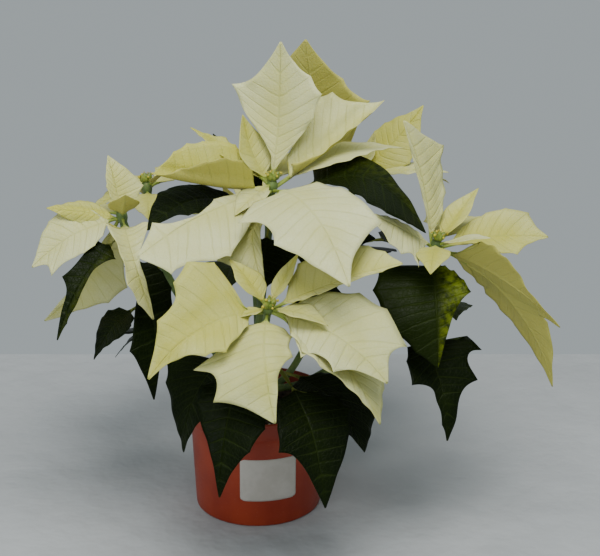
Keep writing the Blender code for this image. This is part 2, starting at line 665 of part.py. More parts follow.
def finish(name, colour, roughness):
    """A Principled material of one colour."""
    material = bpy.data.materials.new(name)
    material.use_nodes = True
    shader = material.node_tree.nodes["Principled BSDF"]
    shader.inputs["Base Color"].default_value = (*colour, 1)
    shader.inputs["Roughness"].default_value = roughness
    shader.inputs["Metallic"].default_value = 0.0
    material.diffuse_color = (*colour, 1)
    return material


def grow(name, pieces, material):
    """One node: a core with its blades or cups fused to it."""
    core, others = pieces
    node = add_object(name, core, bpy.context.scene.collection)
    combined(node, others, "UNION")
    dress(node, material)
    return node


def pot_profile():
    """The pot's wall as (radius, height), from the middle of the base round to the inside floor."""
    rim_foot = POT_HEIGHT - POT_RIM_DEPTH
    inner_base = POT_BASE_RADIUS - POT_WALL
    lip_out, lip_in = RIM_LIP
    return (
        (0, 0),
        (POT_BASE_RADIUS - POT_FOOT_BEVEL, 0),
        (POT_BASE_RADIUS, POT_FOOT_BEVEL),
        (POT_NECK_RADIUS, rim_foot - RIM_UNDERCUT),
        (POT_RIM_RADIUS - RIM_STEP, rim_foot),
        (POT_RIM_RADIUS - RIM_BAND, POT_HEIGHT - RIM_BAND),
        (POT_RIM_RADIUS - lip_out, POT_HEIGHT),
        (POT_RIM_RADIUS - lip_in, POT_HEIGHT),
        (POT_NECK_RADIUS - POT_WALL, rim_foot - RIM_UNDERCUT),
        (inner_base, POT_WALL + POT_FLOOR_BEVEL),
        (inner_base - POT_FLOOR_BEVEL, POT_WALL),
        (0, POT_WALL),
    )


def soil_profile():
    """The soil as (radius, height), clear of the pot's wall and floor all round."""
    neck_height = POT_HEIGHT - POT_RIM_DEPTH - RIM_UNDERCUT
    top = POT_HEIGHT - SOIL_DEPTH_BELOW_RIM
    floor = POT_WALL + GAP
    bevel = POT_FLOOR_BEVEL + GAP
    neck = POT_NECK_RADIUS - POT_WALL - GAP
    base = POT_BASE_RADIUS - POT_WALL - GAP
    slope = (POT_RIM_RADIUS - RIM_LIP[1] - POT_NECK_RADIUS + POT_WALL) / (POT_HEIGHT - neck_height)
    return (
        (0, floor),
        (base - bevel, floor),
        (base, floor + bevel),
        (neck, neck_height),
        (neck + slope * (top - neck_height) - GAP / 3, top),
        (0, top),
    )


def make_pot(material):
    """The thin pot with its rim band and the drainage holes near the edge of its floor."""
    node = add_object("pot", turned(pot_profile(), POT_SIDES), bpy.context.scene.collection)
    cutters = []
    for i in range(DRAIN_HOLES):
        angle = 2 * math.pi * (i + DRAIN_TURN) / DRAIN_HOLES
        centre = (DRAIN_CIRCLE * math.cos(angle), DRAIN_CIRCLE * math.sin(angle))
        cutters.append(prism(DRAIN_RADIUS, DRAIN_SIDES, -CUT_REACH, POT_WALL + CUT_REACH, centre))
    combined(node, cutters, "DIFFERENCE")
    dress(node, material)


def make_soil(material):
    """The potting mix, with the plain hole that the trunk stands in."""
    node = add_object("soil", turned(soil_profile(), POT_SIDES), bpy.context.scene.collection)
    hole_radius = TRUNK_RADIUS + GAP / math.cos(math.pi / TRUNK_SIDES)
    hole = prism(hole_radius, TRUNK_SIDES, TRUNK_FOOT - GAP, POT_HEIGHT)
    combined(node, [hole], "DIFFERENCE")
    dress(node, material)


def make_trunk(material):
    """The short woody trunk, whose flat sides carry the branches."""
    solid = prism(TRUNK_RADIUS, TRUNK_SIDES, TRUNK_FOOT, TRUNK_TOP)
    dress(add_object("trunk", solid, bpy.context.scene.collection), material)


def main():
    """Builds every node in an empty scene."""
    for old in list(bpy.data.objects):
        bpy.data.objects.remove(old)
    cream = finish("cream_bract", CREAM, 0.55)
    green = finish("leaf_green", LEAF_GREEN, 0.45)
    cup_green = finish("cup_green", CUP_GREEN, 0.5)
    make_pot(finish("terracotta_plastic", TERRACOTTA, 0.5))
    make_soil(finish("peat", PEAT, 0.95))
    make_trunk(finish("bark", BARK, 0.85))
    for branch in BRANCHES:
        grow(f"stem_{branch.name}", stem_pieces(branch), green)
        grow(f"bracts_{branch.name}", crown_pieces(branch), cream)
        grow(f"cups_{branch.name}", cup_pieces(branch), cup_green)


if __name__ == "__main__":
    main()
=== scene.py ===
"""The finished poinsettia on its CAD frame: fine bracts, leaves, stems, flower cups, pot and soil.

Lengths in the named values are millimetres, as in the part's source, and metres in the meshes.
Every blade follows the same midline, edge places, fold and roll as its plain solid, with more rows.
"""

from __future__ import annotations

import json
import logging
import math
from dataclasses import dataclass, field
from enum import Enum

import bpy
import numpy as np
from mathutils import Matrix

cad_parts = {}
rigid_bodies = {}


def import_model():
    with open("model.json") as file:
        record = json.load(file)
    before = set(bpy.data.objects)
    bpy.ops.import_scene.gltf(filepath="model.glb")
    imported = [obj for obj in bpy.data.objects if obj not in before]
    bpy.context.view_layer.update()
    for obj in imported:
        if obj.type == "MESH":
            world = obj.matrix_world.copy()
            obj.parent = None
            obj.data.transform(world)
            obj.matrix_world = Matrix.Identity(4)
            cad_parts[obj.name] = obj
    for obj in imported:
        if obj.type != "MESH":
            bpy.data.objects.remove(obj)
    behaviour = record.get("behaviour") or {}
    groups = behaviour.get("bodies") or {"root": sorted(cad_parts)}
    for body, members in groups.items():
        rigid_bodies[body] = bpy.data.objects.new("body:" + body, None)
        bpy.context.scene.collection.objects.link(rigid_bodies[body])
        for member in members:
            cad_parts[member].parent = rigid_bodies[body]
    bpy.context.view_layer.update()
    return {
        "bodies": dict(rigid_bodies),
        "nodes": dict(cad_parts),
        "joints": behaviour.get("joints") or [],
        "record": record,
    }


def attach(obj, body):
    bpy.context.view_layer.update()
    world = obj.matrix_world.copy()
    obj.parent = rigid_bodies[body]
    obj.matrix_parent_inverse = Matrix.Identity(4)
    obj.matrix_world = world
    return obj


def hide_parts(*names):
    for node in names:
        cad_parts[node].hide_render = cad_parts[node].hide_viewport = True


LOG = logging.getLogger("poinsettia")

MM = 0.001
SEED = 11
BODY = "root"
Places = tuple[tuple[float, float], ...]
Spot = tuple[float, float, float]
Colour = tuple[float, float, float]

GAP = 0.3
TRUNK_FOOT = 46.0
TRUNK_TOP = 116.0
STEM_RADIUS = 3.3
CROWN_LENGTH = 11.0
CROWN_RADIUS = 4.6
CROWN_SHARES = (0.20, 0.68)
ROOT_OFFSET = 1.6
STEEP_ROOT_OFFSET = 1.8
NECK_HALF_WIDTH = 1.4
WAVE_SHARE = 0.03
WAVE_TURNS = 11.0
WAVE_SHIFT = 0.1
FOLD_REACH = 0.4
LINE_STEPS = 60
LOBE_TURN = 0.16
LOBE_SAG = 0.26
TINY = 1e-9
SIDE_GUIDE = (0.31, 0.95, 0.07)
# What a blade's finish reads: its sheet, a random tint, and its tone, which on bracts is partly painted shade
# and painted light shining through.
TRAITS = ("under", "tint", "tone")
TINT_STEPS = (0.37, 0.73)
UP = np.array((0.0, 0.0, 1.0))
TUBE_SIDES = 16

PLACE_ROWS = 9.0
VEIN_WOBBLE = 0.10
VEIN_WOBBLE_SCALE = 120.0
VEIN_EDGE_WIDTH = 0.35
VEIN_EDGE_SHARE = 0.2
VEIN_FADE_FROM = 0.8
MIDRIB_WIDTH = 0.045
NET_WIDTH = 0.12
CLOUD_RANGE = (0.3, 0.7)
SPECK_RANGE = (0.08, 0.22)
BUD_POWER = 0.8
BUD_TURN = 0.86 * math.pi
BUD_START = 0.36


class Outline(Enum):
    """Plain outlines. A row is a side vein: its midrib share, then its edge place (along, out)."""

    OVAL = (
        (0.00, 0.02, 0.06),
        (0.04, 0.13, 0.52),
        (0.13, 0.27, 0.90),
        (0.27, 0.43, 1.00),
        (0.42, 0.58, 0.88),
        (0.58, 0.73, 0.58),
        (0.76, 0.87, 0.24),
        (1.00, 1.00, 0.02),
    )
    BROAD = (
        (0.00, 0.02, 0.06),
        (0.03, 0.14, 0.38),
        (0.12, 0.30, 0.70),
        (0.26, 0.48, 0.94),
        (0.42, 0.65, 1.00),
        (0.58, 0.78, 0.68),
        (0.76, 0.89, 0.26),
        (1.00, 1.00, 0.02),
    )
    SMALL = (
        (0.00, 0.02, 0.10),
        (0.10, 0.25, 0.85),
        (0.34, 0.50, 1.00),
        (0.62, 0.76, 0.52),
        (1.00, 1.00, 0.02),
    )
    HEART = (
        (0.00, 0.02, 0.08),
        (0.03, 0.08, 0.62),
        (0.12, 0.22, 0.97),
        (0.26, 0.38, 1.00),
        (0.41, 0.54, 0.80),
        (0.58, 0.70, 0.50),
        (0.76, 0.86, 0.20),
        (1.00, 1.00, 0.02),
    )


@dataclass(frozen=True)
class Blade:
    """A bract or a leaf. Its tip is a place in the plant; its root lies in the stem.

    Positive roll and twist lift its left side, positive arch bows it upward, positive fold makes a
    boat of it, and sway bows it to its left. Its edges have the outline's own places, or six of
    their own between the neck and the tip, as shares of the length and the half width. Its tone
    goes from 0, ivory or dark green, to 1, yellow-green. On a bract the yellower tone is partly its
    own colour and partly painted shade and painted light shining through it; on a leaf a high tone
    also lays on a painted patch of light shining through it.
    """

    tip: Spot
    width: float
    arch: float = 0.08
    fold: float = 8.0
    roll: float = 0.0
    twist: float = 0.0
    sway: float = 0.0
    neck: float = 0.10
    at: float = 0.5
    shape: Outline = Outline.OVAL
    tone: float = 0.0
    left: Places = ()
    right: Places = ()


@dataclass(frozen=True)
class Branch:
    """One shoot: its stem's route from the trunk to the crown of its bloom, bracts and leaves."""

    name: str
    route: tuple[Spot, ...]
    bracts: tuple[Blade, ...]
    leaves: tuple[Blade, ...]
    cups: int = 6


BRANCHES = (
    Branch(
        "top",
        ((0, 0, TRUNK_TOP + GAP), (0, 0, 150), (8, 3, 220), (14, 5, 293)),
        (
            Blade((75, -125, 247), 84, 0.16, 0, 10, tone=0.05,
                  left=((0.06, 0.70), (0.24, 0.90), (0.44, 0.95), (0.68, 1.10), (0.76, 0.60), (0.86, 0.25)),
                  right=((0.07, 0.75), (0.28, 1.35), (0.43, 0.95), (0.64, 1.05), (0.75, 0.72), (0.86, 0.45))),
            Blade((-92, -80, 255), 70, 0.06, 4, -26, tone=0.10,
                  left=((0.19, 0.80), (0.38, 1.15), (0.55, 1.45), (0.66, 1.30), (0.83, 0.95), (0.95, 0.95)),
                  right=((0.06, 0.20), (0.17, 0.20), (0.30, 0.28), (0.43, 0.10), (0.60, 0.12), (0.76, 0.50))),
            Blade((9, -75, 225), 70, 0.14, -10, sway=-0.12, tone=0.35,
                  left=((0.13, 0.34), (0.27, 0.26), (0.43, 0.18), (0.60, 0.18), (0.75, 0.16), (0.88, 0.10)),
                  right=((0.12, 0.65), (0.30, 0.72), (0.50, 0.82), (0.68, 0.90), (0.78, 0.46), (0.88, 0.20))),
            Blade((-83, -25, 308), 60, -0.03, 58, -4, tone=1.00,
                  left=((0.13, 0.80), (0.26, 1.15), (0.44, 1.25), (0.60, 0.95), (0.72, 0.60), (0.84, 0.34)),
                  right=((0.10, 0.90), (0.22, 1.22), (0.38, 1.25), (0.56, 1.22), (0.72, 1.08), (0.84, 0.74))),
            Blade((108, 40, 353), 70, -0.02, 50, -5, tone=0.35,
                  left=((0.13, 0.50), (0.38, 0.95), (0.62, 1.22), (0.75, 1.02), (0.79, 0.60), (0.88, 0.32)),
                  right=((0.10, 0.45), (0.26, 0.28), (0.41, 0.16), (0.57, 0.14), (0.71, 0.14), (0.84, 0.20))),
            Blade((128, 66, 304), 48, 0.10, 4, tone=0.30),
            Blade((21, 35, 404), 78, -0.06, 8, tone=0.08,
                  left=((0.16, 0.12), (0.31, 0.44), (0.46, 0.76), (0.66, 1.06), (0.70, 0.66), (0.86, 0.26)),
                  right=((0.16, 0.28), (0.29, 0.55), (0.43, 0.84), (0.63, 1.00), (0.76, 0.70), (0.87, 0.26))),
            Blade((-56, 42, 329), 44, 0.05, 10, tone=0.90,
                  right=((0.14, 0.20), (0.28, 0.12), (0.48, 0.34), (0.64, 0.55), (0.74, 0.26), (0.86, 0.10))),
            Blade((40, 118, 280), 62, 0.10, 6, tone=0.60),
            Blade((-11, 27, 344), 34, -0.08, 10, shape=Outline.SMALL, tone=0.80),
            Blade((-16, -40, 277), 26, 0.06, 8, shape=Outline.SMALL, tone=0.40),
            Blade((-8, -26, 282), 16, 0.06, 8, shape=Outline.SMALL, tone=0.50),
        ),
        (
            Blade((-87, -42, 265), 60, 0.13, 4, -18, sway=-0.16, neck=0.22, at=0.93, shape=Outline.HEART,
                  left=((0.10, 0.25), (0.22, 0.40), (0.36, 0.50), (0.50, 0.66), (0.64, 0.55), (0.82, 0.24)),
                  right=((0.08, 0.30), (0.22, 0.50), (0.38, 0.70), (0.54, 0.80), (0.64, 0.80), (0.80, 0.44))),
            Blade((140, -34, 260), 60, 0.26, 4, 12, sway=0.15, neck=0.22, at=0.93, shape=Outline.HEART,
                  tone=0.20,
                  left=((0.03, 0.90), (0.12, 1.30), (0.24, 1.10), (0.43, 0.85), (0.65, 0.45), (0.85, 0.20)),
                  right=((0.08, 0.40), (0.20, 0.60), (0.43, 1.10), (0.66, 1.30), (0.82, 1.05), (0.93, 0.55))),
            Blade((-38, 62, 318), 36, 0.04, 10, neck=0.25, at=0.88, shape=Outline.HEART),
            Blade((60, 110, 225), 62, 0.12, 6, neck=0.25, at=0.70, shape=Outline.HEART),
            Blade((4, -34, 206), 56, 0.06, 4, neck=0.18, at=0.86, shape=Outline.HEART),
            Blade((102, 34, 232), 66, 0.10, 4, 60, neck=0.20, at=0.68, shape=Outline.HEART),
            Blade((104, -30, 158), 60, 0.10, 4, 35, neck=0.20, at=0.50, shape=Outline.HEART),
        ),
    ),
    Branch(
        "front",
        ((0, -9.08, 100), (1, -40, 116), (7, -70, 178), (12, -102, 222)),
        (
            Blade((-80, -150, 180), 84, 0.15, 12, -40, tone=1.00,
                  left=((0.08, 0.30), (0.22, 0.48), (0.40, 0.70), (0.58, 0.56), (0.70, 0.27), (0.83, 0.12)),
                  right=((0.16, 1.10), (0.32, 1.25), (0.45, 1.00), (0.50, 0.70), (0.67, 0.60), (0.79, 0.30))),
            Blade((18, -170, 152), 84, 0.14, -14, sway=-0.06, tone=0.45,
                  left=((0.04, 0.35), (0.10, 0.55), (0.25, 0.48), (0.38, 0.55), (0.54, 0.28), (0.78, 0.15)),
                  right=((0.04, 0.50), (0.23, 0.80), (0.45, 1.35), (0.54, 0.95), (0.74, 1.05), (0.83, 0.50))),
            Blade((105, -140, 172), 84, 0.12, 2, 22, tone=0.20,
                  left=((0.08, 0.55), (0.23, 0.84), (0.40, 1.14), (0.62, 1.20), (0.90, 0.90), (0.86, 0.48)),
                  right=((0.12, 0.30), (0.26, 0.66), (0.35, 0.88), (0.45, 0.62), (0.65, 0.74), (0.77, 0.36))),
            Blade((118, -92, 254), 60, 0.04, 6, 30, tone=0.70,
                  left=((0.10, 0.45), (0.22, 1.00), (0.40, 1.02), (0.62, 0.96), (0.78, 0.80), (0.89, 0.50)),
                  right=((0.08, 0.12), (0.16, 0.18), (0.30, 0.24), (0.50, 0.18), (0.68, 0.15), (0.83, 0.14))),
            Blade((100, -140, 137), 76, 0.12, 4, tone=0.50,
                  left=((0.13, 0.50), (0.40, 1.05), (0.60, 1.45), (0.72, 1.00), (0.84, 0.70), (0.93, 0.30)),
                  right=((0.13, 0.50), (0.27, 0.80), (0.43, 0.80), (0.60, 0.50), (0.74, 0.34), (0.87, 0.15))),
            Blade((59, -122, 213), 30, 0.10, 8, shape=Outline.SMALL, tone=0.60),
            Blade((-20, -70, 250), 26, 0.06, 8, shape=Outline.SMALL, tone=0.80),
            Blade((-12, -112, 216), 16, 0.06, 8, shape=Outline.SMALL, tone=0.90),
            Blade((36, -72, 256), 16, 0.02, 8, shape=Outline.SMALL, tone=0.80),
        ),
        (
            Blade((57, -160, 74), 66, 0.20, 4, neck=0.34, at=0.62, shape=Outline.HEART,
                  left=((0.08, 0.62), (0.18, 0.97), (0.30, 1.20), (0.43, 1.02), (0.58, 0.80), (0.79, 0.40)),
                  right=((0.08, 0.55), (0.20, 0.75), (0.34, 0.85), (0.52, 1.00), (0.58, 0.62), (0.80, 0.28))),
            Blade((-26, -165, 86), 60, 0.22, 4, neck=0.30, at=0.70, shape=Outline.HEART,
                  left=((0.08, 0.60), (0.18, 0.80), (0.33, 1.05), (0.46, 1.10), (0.65, 0.80), (0.80, 0.36)),
                  right=((0.08, 0.62), (0.20, 0.97), (0.34, 0.95), (0.50, 0.68), (0.64, 0.42), (0.80, 0.20))),
            Blade((-56, -128, 107), 62, 0.28, 4, neck=0.30, at=0.66, shape=Outline.HEART,
                  right=((0.14, 1.20), (0.30, 1.45), (0.50, 1.08), (0.63, 0.68), (0.80, 0.40), (0.91, 0.16))),
            Blade((89, -120, 103), 60, 0.20, 4, neck=0.30, at=0.52, shape=Outline.HEART,
                  left=((0.10, 0.62), (0.24, 0.95), (0.44, 1.30), (0.77, 1.08), (0.86, 0.60), (0.94, 0.28))),
        ),
    ),
    Branch(
        "left",
        ((-9.08, 0, 108), (-45, -3, 126), (-96, -12, 206), (-111, -20, 275)),
        (
            Blade((-123, 8, 314), 36, 0.03, 10, tone=0.40,
                  left=((0.12, 0.30), (0.28, 0.45), (0.46, 0.50), (0.62, 0.40), (0.78, 0.25), (0.90, 0.12)),
                  right=((0.12, 0.35), (0.22, 0.95), (0.38, 1.30), (0.55, 1.00), (0.73, 0.65), (0.88, 0.30))),
            Blade((-172, -20, 277), 36, 0.02, -25, -40, tone=0.80,
                  left=((0.13, 0.30), (0.27, 0.50), (0.43, 0.55), (0.58, 0.50), (0.73, 0.36), (0.87, 0.16))),
            Blade((-183, -42, 233), 52, 0.09, 6, -35, tone=0.10,
                  left=((0.13, 0.50), (0.27, 0.80), (0.43, 0.90), (0.58, 0.80), (0.90, 0.80), (0.86, 0.40))),
            Blade((-82, -70, 198), 70, 0.16, 20, sway=-0.08, tone=0.20,
                  left=((0.02, 0.45), (0.06, 0.65), (0.21, 0.35), (0.40, 0.14), (0.64, 0.12), (0.84, 0.08)),
                  right=((0.02, 0.50), (0.08, 0.50), (0.25, 0.40), (0.42, 0.32), (0.63, 0.40), (0.82, 0.25))),
            Blade((-188, 36, 155), 80, -0.05, 4, -118, tone=0.35,
                  left=((0.04, 0.12), (0.12, 0.35), (0.34, 0.85), (0.51, 0.72), (0.68, 0.40), (0.85, 0.20)),
                  right=((0.10, 0.10), (0.25, 0.12), (0.44, 0.12), (0.65, 0.10), (0.82, 0.08), (0.93, 0.04))),
            Blade((-160, 40, 250), 40, 0.06, 6, shape=Outline.SMALL, tone=0.50),
            Blade((-104, -44, 296), 26, -0.04, 10, shape=Outline.SMALL, tone=0.60),
        ),
        (
            Blade((-158, -90, 188), 50, 0.12, 4, -30, neck=0.16, at=0.96, shape=Outline.HEART, tone=0.20,
                  left=((0.04, 0.20), (0.10, 0.50), (0.25, 0.18), (0.46, 0.16), (0.65, 0.20), (0.85, 0.15)),
                  right=((0.05, 0.40), (0.14, 0.50), (0.31, 0.45), (0.50, 0.62), (0.58, 0.30), (0.77, 0.16))),
            Blade((-136, -40, 150), 44, 0.12, 4, neck=0.25, at=0.62, shape=Outline.HEART),
            Blade((-84, -68, 126), 60, 0.12, 4, sway=0.04, neck=0.16, at=0.94, shape=Outline.HEART,
                  left=((0.03, 0.35), (0.12, 0.58), (0.24, 0.70), (0.37, 0.60), (0.50, 0.30), (0.70, 0.14)),
                  right=((0.06, 0.16), (0.14, 0.22), (0.26, 0.36), (0.40, 0.55), (0.64, 0.78), (0.80, 0.42))),
            Blade((-128, 70, 124), 56, 0.12, 4, neck=0.25, at=0.46, shape=Outline.HEART),
        ),
    ),
    Branch(
        "right",
        ((9.08, 0, 104), (50, -3, 118), (130, -12, 180), (151, -20, 249)),
        (
            Blade((122, 0, 346), 64, 0.02, -20, -30, sway=-0.05, tone=0.25,
                  left=((0.10, 0.06), (0.28, 0.10), (0.46, 0.12), (0.62, 0.12), (0.76, 0.10), (0.90, 0.06)),
                  right=((0.16, 0.50), (0.31, 0.75), (0.44, 0.80), (0.57, 0.85), (0.66, 1.10), (0.78, 0.60))),
            Blade((246, 0, 245), 60, 0.06, 6, 28, tone=0.70,
                  left=((0.18, 0.45), (0.29, 0.65), (0.45, 0.85), (0.64, 0.95), (0.86, 0.85), (0.89, 0.42)),
                  right=((0.20, 0.14), (0.34, 0.30), (0.46, 0.70), (0.62, 0.80), (0.74, 0.45), (0.88, 0.20))),
            Blade((92, -44, 280), 64, 0.03, 4, -40, tone=0.05,
                  left=((0.10, 0.60), (0.22, 1.10), (0.30, 0.80), (0.50, 0.90), (0.68, 0.70), (0.85, 0.35)),
                  right=((0.13, 0.15), (0.27, 0.22), (0.43, 0.22), (0.58, 0.20), (0.73, 0.14), (0.87, 0.08))),
            Blade((252, -50, 183), 64, 0.07, 6, -55, tone=0.95,
                  right=((0.17, 0.85), (0.26, 1.00), (0.37, 0.85), (0.48, 0.60), (0.61, 0.28), (0.78, 0.12))),
            Blade((252, -28, 120), 50, 0.12, 6, -45, neck=0.15, tone=0.95),
            Blade((188, 20, 282), 24, 0.03, 12, shape=Outline.SMALL, tone=0.80),
            Blade((142, -70, 237), 28, 0.10, 4, shape=Outline.SMALL, tone=0.85),
            Blade((190, 70, 240), 54, 0.08, 6, tone=0.60),
            Blade((192, -50, 261), 24, 0.03, 6, shape=Outline.SMALL, tone=0.10),
        ),
        (
            Blade((149, -80, 160), 80, 0.16, 4, neck=0.05, at=0.97, shape=Outline.HEART, tone=1.00,
                  left=((0.03, 0.25), (0.09, 0.42), (0.21, 0.60), (0.34, 0.72), (0.48, 0.42), (0.73, 0.20)),
                  right=((0.05, 0.80), (0.13, 1.15), (0.31, 1.30), (0.53, 1.15), (0.72, 0.85), (0.88, 0.45))),
            Blade((159, -80, 94), 68, 0.20, 4, neck=0.24, at=0.66, shape=Outline.HEART,
                  left=((0.06, 1.15), (0.24, 1.35), (0.26, 0.95), (0.52, 1.00), (0.60, 0.50), (0.84, 0.25)),
                  right=((0.04, 0.50), (0.20, 0.72), (0.45, 0.82), (0.50, 0.32), (0.66, 0.18), (0.86, 0.12))),
            Blade((176, 50, 150), 60, 0.16, 4, neck=0.28, at=0.70, shape=Outline.HEART),
        ),
    ),
    Branch(
        "back_right",
        ((6.42, 6.42, 98), (34, 36, 116), (76, 92, 190), (85, 105, 272)),
        (
            Blade((42, 92, 394), 70, -0.06, 6, 45, shape=Outline.BROAD, tone=1.00,
                  left=((0.20, 0.60), (0.34, 1.00), (0.51, 1.50), (0.58, 1.10), (0.70, 0.85), (0.83, 0.45)),
                  right=((0.14, 0.38), (0.30, 0.70), (0.48, 0.94), (0.65, 1.00), (0.82, 0.80), (0.90, 0.42))),
            Blade((147, 118, 329), 50, -0.03, -10, 40, tone=0.90),
            Blade((168, 80, 278), 44, 0.06, 6, tone=0.40),
            Blade((176, 160, 244), 60, 0.10, 6, tone=0.50),
            Blade((100, 215, 262), 62, 0.10, 6, tone=0.50),
            Blade((20, 160, 290), 44, 0.06, 10, tone=0.60),
            Blade((104, 118, 304), 22, -0.08, 10, shape=Outline.SMALL, tone=0.50),
        ),
        (
            Blade((170, 130, 170), 62, 0.16, 4, neck=0.28, at=0.74, shape=Outline.HEART),
            Blade((120, 190, 160), 62, 0.16, 4, neck=0.28, at=0.62, shape=Outline.HEART),
            Blade((130, 90, 110), 56, 0.16, 4, neck=0.28, at=0.46, shape=Outline.HEART),
        ),
    ),
    Branch(
        "back_left",
        ((-6.42, 6.42, 102), (-34, 32, 120), (-84, 62, 196), (-98, 70, 272)),
        (
            Blade((-91, 10, 257), 36, 0.06, 6, tone=0.80),
            Blade((-132, 112, 262), 46, 0.06, 6, tone=0.80),
            Blade((-110, 165, 232), 60, 0.10, 6, tone=0.60),
            Blade((-38, 150, 255), 50, 0.08, 8, tone=0.70),
            Blade((-152, 66, 242), 40, 0.08, 8, tone=0.80),
            Blade((-70, 60, 290), 26, 0.04, 10, shape=Outline.SMALL, tone=0.80),
        ),
        (
            Blade((-170, 120, 150), 60, 0.16, 4, neck=0.28, at=0.74, shape=Outline.HEART),
            Blade((-110, 160, 140), 60, 0.16, 4, neck=0.28, at=0.62, shape=Outline.HEART),
            Blade((-130, 60, 110), 52, 0.16, 4, neck=0.28, at=0.46, shape=Outline.HEART),
        ),
    ),
    Branch(
        "back",
        ((0, 9.08, 106), (0, 40, 118), (-4, 112, 170), (-6, 135, 224)),
        (
            Blade((-50, 225, 190), 60, 0.10, 6, tone=0.40),
            Blade((40, 228, 188), 60, 0.10, 6, tone=0.50),
            Blade((-88, 160, 215), 50, 0.08, 6, tone=0.55),
            Blade((70, 170, 215), 50, 0.08, 6, tone=0.45),
            Blade((-12, 184, 282), 36, -0.08, 10, shape=Outline.SMALL, tone=0.60),
            Blade((-33, 106, 260), 26, -0.07, 10, shape=Outline.SMALL, tone=0.60),
        ),
        (
            Blade((-40, 200, 110), 60, 0.18, 4, neck=0.28, at=0.74, shape=Outline.HEART),
            Blade((50, 195, 104), 60, 0.18, 4, neck=0.28, at=0.60, shape=Outline.HEART),
        ),
    ),
)


@dataclass
class Solid:
    """A closed mesh in millimetres, with what its finish reads at each point."""

    points: np.ndarray
    faces: np.ndarray
    places: np.ndarray
    traits: np.ndarray

    @staticmethod
    def plain(points: np.ndarray, faces: np.ndarray) -> Solid:
        """Makes a solid whose finish reads nothing but its places in the part.

        Args:
            points: Its points.
            faces: The indices of each face's corners.

        Returns:
            The solid.
        """
        count = len(points)
        return Solid(points, faces, np.zeros((count, 2)), np.zeros((count, len(TRAITS))))

    @staticmethod
    def merged(solids: list[Solid]) -> Solid:
        """Puts several solids into one mesh.

        Args:
            solids: The meshes, which share no points.

        Returns:
            One mesh that holds them all.
        """
        starts = np.cumsum([0] + [len(solid.points) for solid in solids[:-1]])
        return Solid(
            np.concatenate([solid.points for solid in solids]),
            np.concatenate([solid.faces + start for solid, start in zip(solids, starts)]),
            np.concatenate([solid.places for solid in solids]),
            np.concatenate([solid.traits for solid in solids]),
        )

    def mesh(self, name: str, finish: bpy.types.Material) -> bpy.types.Mesh:
        """Makes the Blender mesh, with its UV map and its attributes.

        Args:
            name: The mesh's name.
            finish: The material of all its faces.

        Returns:
            The mesh, in metres.
        """
        mesh = bpy.data.meshes.new(name)
        mesh.from_pydata((self.points * MM).tolist(), [], self.faces.tolist())
        corners = np.empty(len(mesh.loops), dtype=np.int32)
        mesh.loops.foreach_get("vertex_index", corners)
        layer = mesh.uv_layers.new(name="UVMap")
        layer.uv.foreach_set("vector", self.places[corners].astype(np.float32).ravel())
        for title, values in zip(TRAITS, self.traits.T):
            attribute = mesh.attributes.new(title, "FLOAT", "POINT")
            attribute.data.foreach_set("value", values.astype(np.float32))
        mesh.materials.append(finish)
        mesh.shade_smooth()
        return mesh


def unit(vector: np.ndarray) -> np.ndarray:
    """The vector, or each of them, at length one."""
    return vector / np.linalg.norm(vector, axis=-1, keepdims=True)


def spline(points: list[np.ndarray], count: int) -> np.ndarray:
    """Finds evenly stepped points on a smooth curve.

    Args:
        points: The places that the curve passes through.
        count: How many points to return.

    Returns:
        An array of the points.
    """
    ends = [2 * points[0] - points[1], *points, 2 * points[-1] - points[-2]]
    found = []
    for step in np.linspace(0, len(points) - 1, count):
        i = min(int(step), len(points) - 2)
        t = step - i
        a, b, c, d = ends[i : i + 4]
        curve = 2 * b + (c - a) * t + (2 * a - 5 * b + 4 * c - d) * t**2
        found.append(0.5 * (curve + (3 * b - 3 * c + d - a) * t**3))
    return np.array(found)


def edge_curve(keys: np.ndarray, marks: np.ndarray, length: float, lobed: float = 0.0) -> np.ndarray:
    """Follows an edge through its places: hollow between pointed lobes, and round elsewhere.

    Args:
        keys: The edge's places as (share of the length, millimetres out).
        marks: Where to look, counted in places from the first one.
        length: The blade's length.
        lobed: 1 or -1 where the places that stand out to that side are pointed, 0 for none.

    Returns:
        The (share, out) of each mark.
    """
    scale = np.array((length, 1.0))
    steps = np.diff(keys * scale, axis=0)
    sizes = np.linalg.norm(steps, axis=1, keepdims=True)
    headings = steps / sizes
    arriving = np.vstack([headings[:1], headings])
    leaving = np.vstack([headings, headings[-1:]])
    turn = np.arctan2(
        arriving[:, 0] * leaving[:, 1] - arriving[:, 1] * leaving[:, 0], (arriving * leaving).sum(axis=1)
    )
    pointed = (-lobed * turn > LOBE_TURN)[:, None]
    between = unit(arriving + leaving + TINY)
    hollow = LOBE_SAG * lobed
    arriving = np.where(pointed, turned(arriving, hollow), between)
    leaving = np.where(pointed, turned(leaving, -hollow), between)
    i = np.clip(np.floor(marks).astype(int), 0, len(steps) - 1)
    t = (marks - i)[:, None]
    start = keys[i] * scale
    end = keys[i + 1] * scale
    curve = (2 * t**3 - 3 * t**2 + 1) * start + (3 * t**2 - 2 * t**3) * end
    curve += (t**3 - 2 * t**2 + t) * leaving[i] * sizes[i]
    curve += (t**3 - t**2) * arriving[i + 1] * sizes[i]
    return curve / scale


def turned(headings: np.ndarray, angle: float) -> np.ndarray:
    """Turns flat headings.

    Args:
        headings: Rows of two numbers.
        angle: How far they turn to the left, in radians.

    Returns:
        The turned rows.
    """
    cosine, sine = math.cos(angle), math.sin(angle)
    return headings @ np.array(((cosine, sine), (-sine, cosine)))


